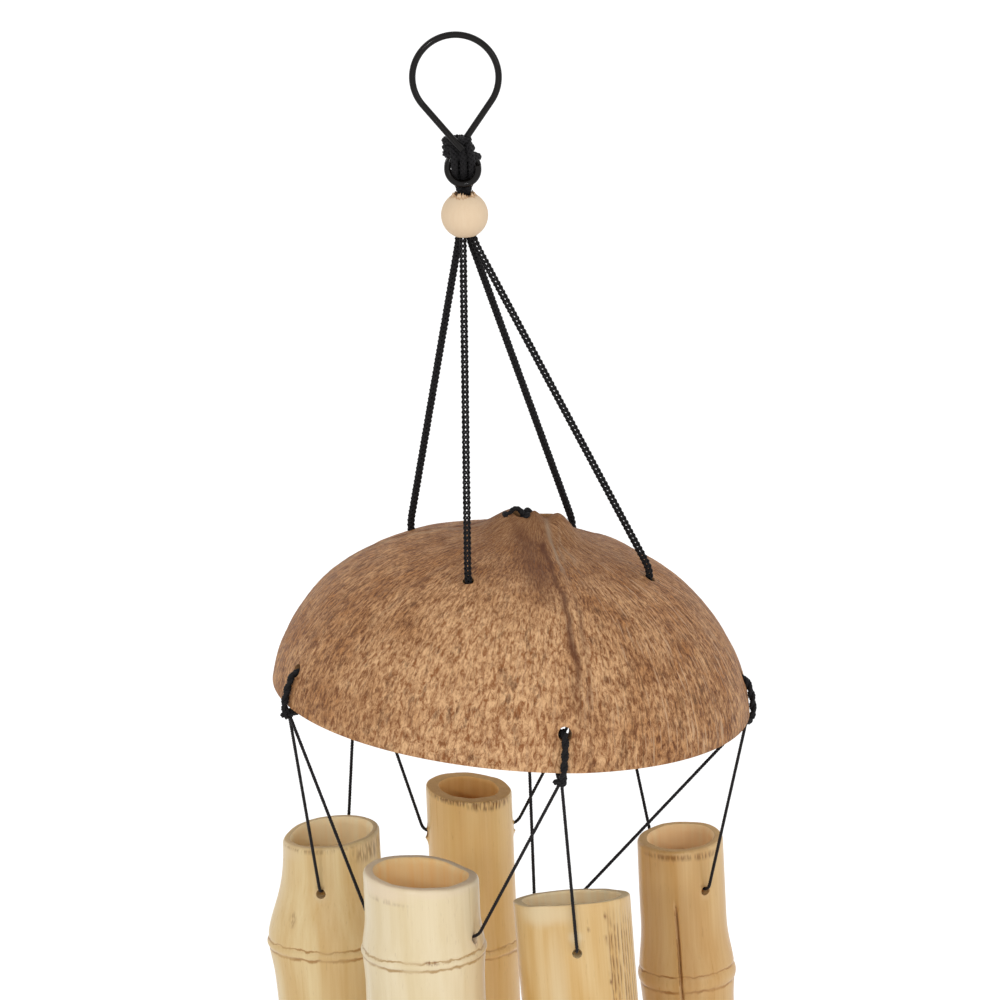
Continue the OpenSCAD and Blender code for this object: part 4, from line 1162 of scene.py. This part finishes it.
keep("turned_striker", striker_mesh, [turned_beech], "striker", "striker_wood", "striker")

# %% Wind catcher
CATCHER_W, CATCHER_H, CATCHER_T, SLAT_BEND_R, SLAT_RING_UP = 30.0, 72.0, 3.0, 34.0, -52
SLAT_HOLE_D, SLAT_HOLE_DOWN = 3.0, 6.0
catcher_top = catcher_knot_at - Vector((0, 0, KNOT_D / 2 + 0.2))
half_w = CATCHER_W / 2
bm = bmesh.new()
bmesh.ops.create_grid(bm, x_segments=32, y_segments=72, size=0.5)
for v in bm.verts:
    u, w = 2 * v.co.x, v.co.y + 0.5  # across from -1 to 1, and up from 0 to 1
    narrowed = math.sqrt(max(0.0, 1 - max(0.0, 1 - w * CATCHER_H / half_w) ** 2))
    x = half_w * u * max(0.02, narrowed)
    y = SLAT_BEND_R - CATCHER_T / 2 - math.sqrt(SLAT_BEND_R ** 2 - x ** 2)
    v.co = (x, y, -CATCHER_H * (1 - w))
bmesh.ops.recalc_face_normals(bm, faces=bm.faces)
if sum(f.normal.y for f in bm.faces) > 0:
    bmesh.ops.reverse_faces(bm, faces=bm.faces)
bmesh.ops.solidify(bm, geom=bm.faces, thickness=CATCHER_T)
mesh = meshed(bm, "catcher", Matrix.Translation(catcher_top))
mesh = drilled(mesh, [(catcher_top - Vector((0, 0, SLAT_HOLE_DOWN)), (0, 1, 0), SLAT_HOLE_D, 20)])
local = vectors(mesh.vertices, "co") / MM - np.array(catcher_top)
stored(mesh, "culm_mm", local)
stored(mesh, "ring_mm", local[:, 2] - SLAT_RING_UP)
for name in ("stain", "pale"):
    stored(mesh, name, np.zeros(len(local)))
facing = vectors(mesh.polygons, "normal")[:, 1]
keep("slat_catcher", mesh, bamboo_finishes("catcher", TUBES["left_rear"]), "catcher", "bamboo_gold", "catcher")
dress(mesh, np.where(facing < -0.5, 0, np.where(facing > 0.5, 2, 1)), 38)

SLAT_STRAND = 1.7
loop_r = SLAT_HOLE_DOWN / 2 + 1.6
loop_mid = catcher_top + Vector((0, 0, -SLAT_HOLE_DOWN + loop_r - 0.2))
loop = [loop_mid + Vector((0, loop_r * math.cos(a), loop_r * math.sin(a))) for a in np.linspace(0, 2.2 * math.pi, 22)]
lines = plied(bent_line(loop, 4, 0.22), SLAT_STRAND)
lines += plied(knot_line(catcher_knot_at, KNOT_D - SLAT_STRAND, (0.3, 0.2, 0)), SLAT_STRAND)
keep("catcher_tie_twist", swept("catcher_tie", lines, PLY * SLAT_STRAND), [braided_polyester], "catcher", "black_cord",
     "catcher_tie")
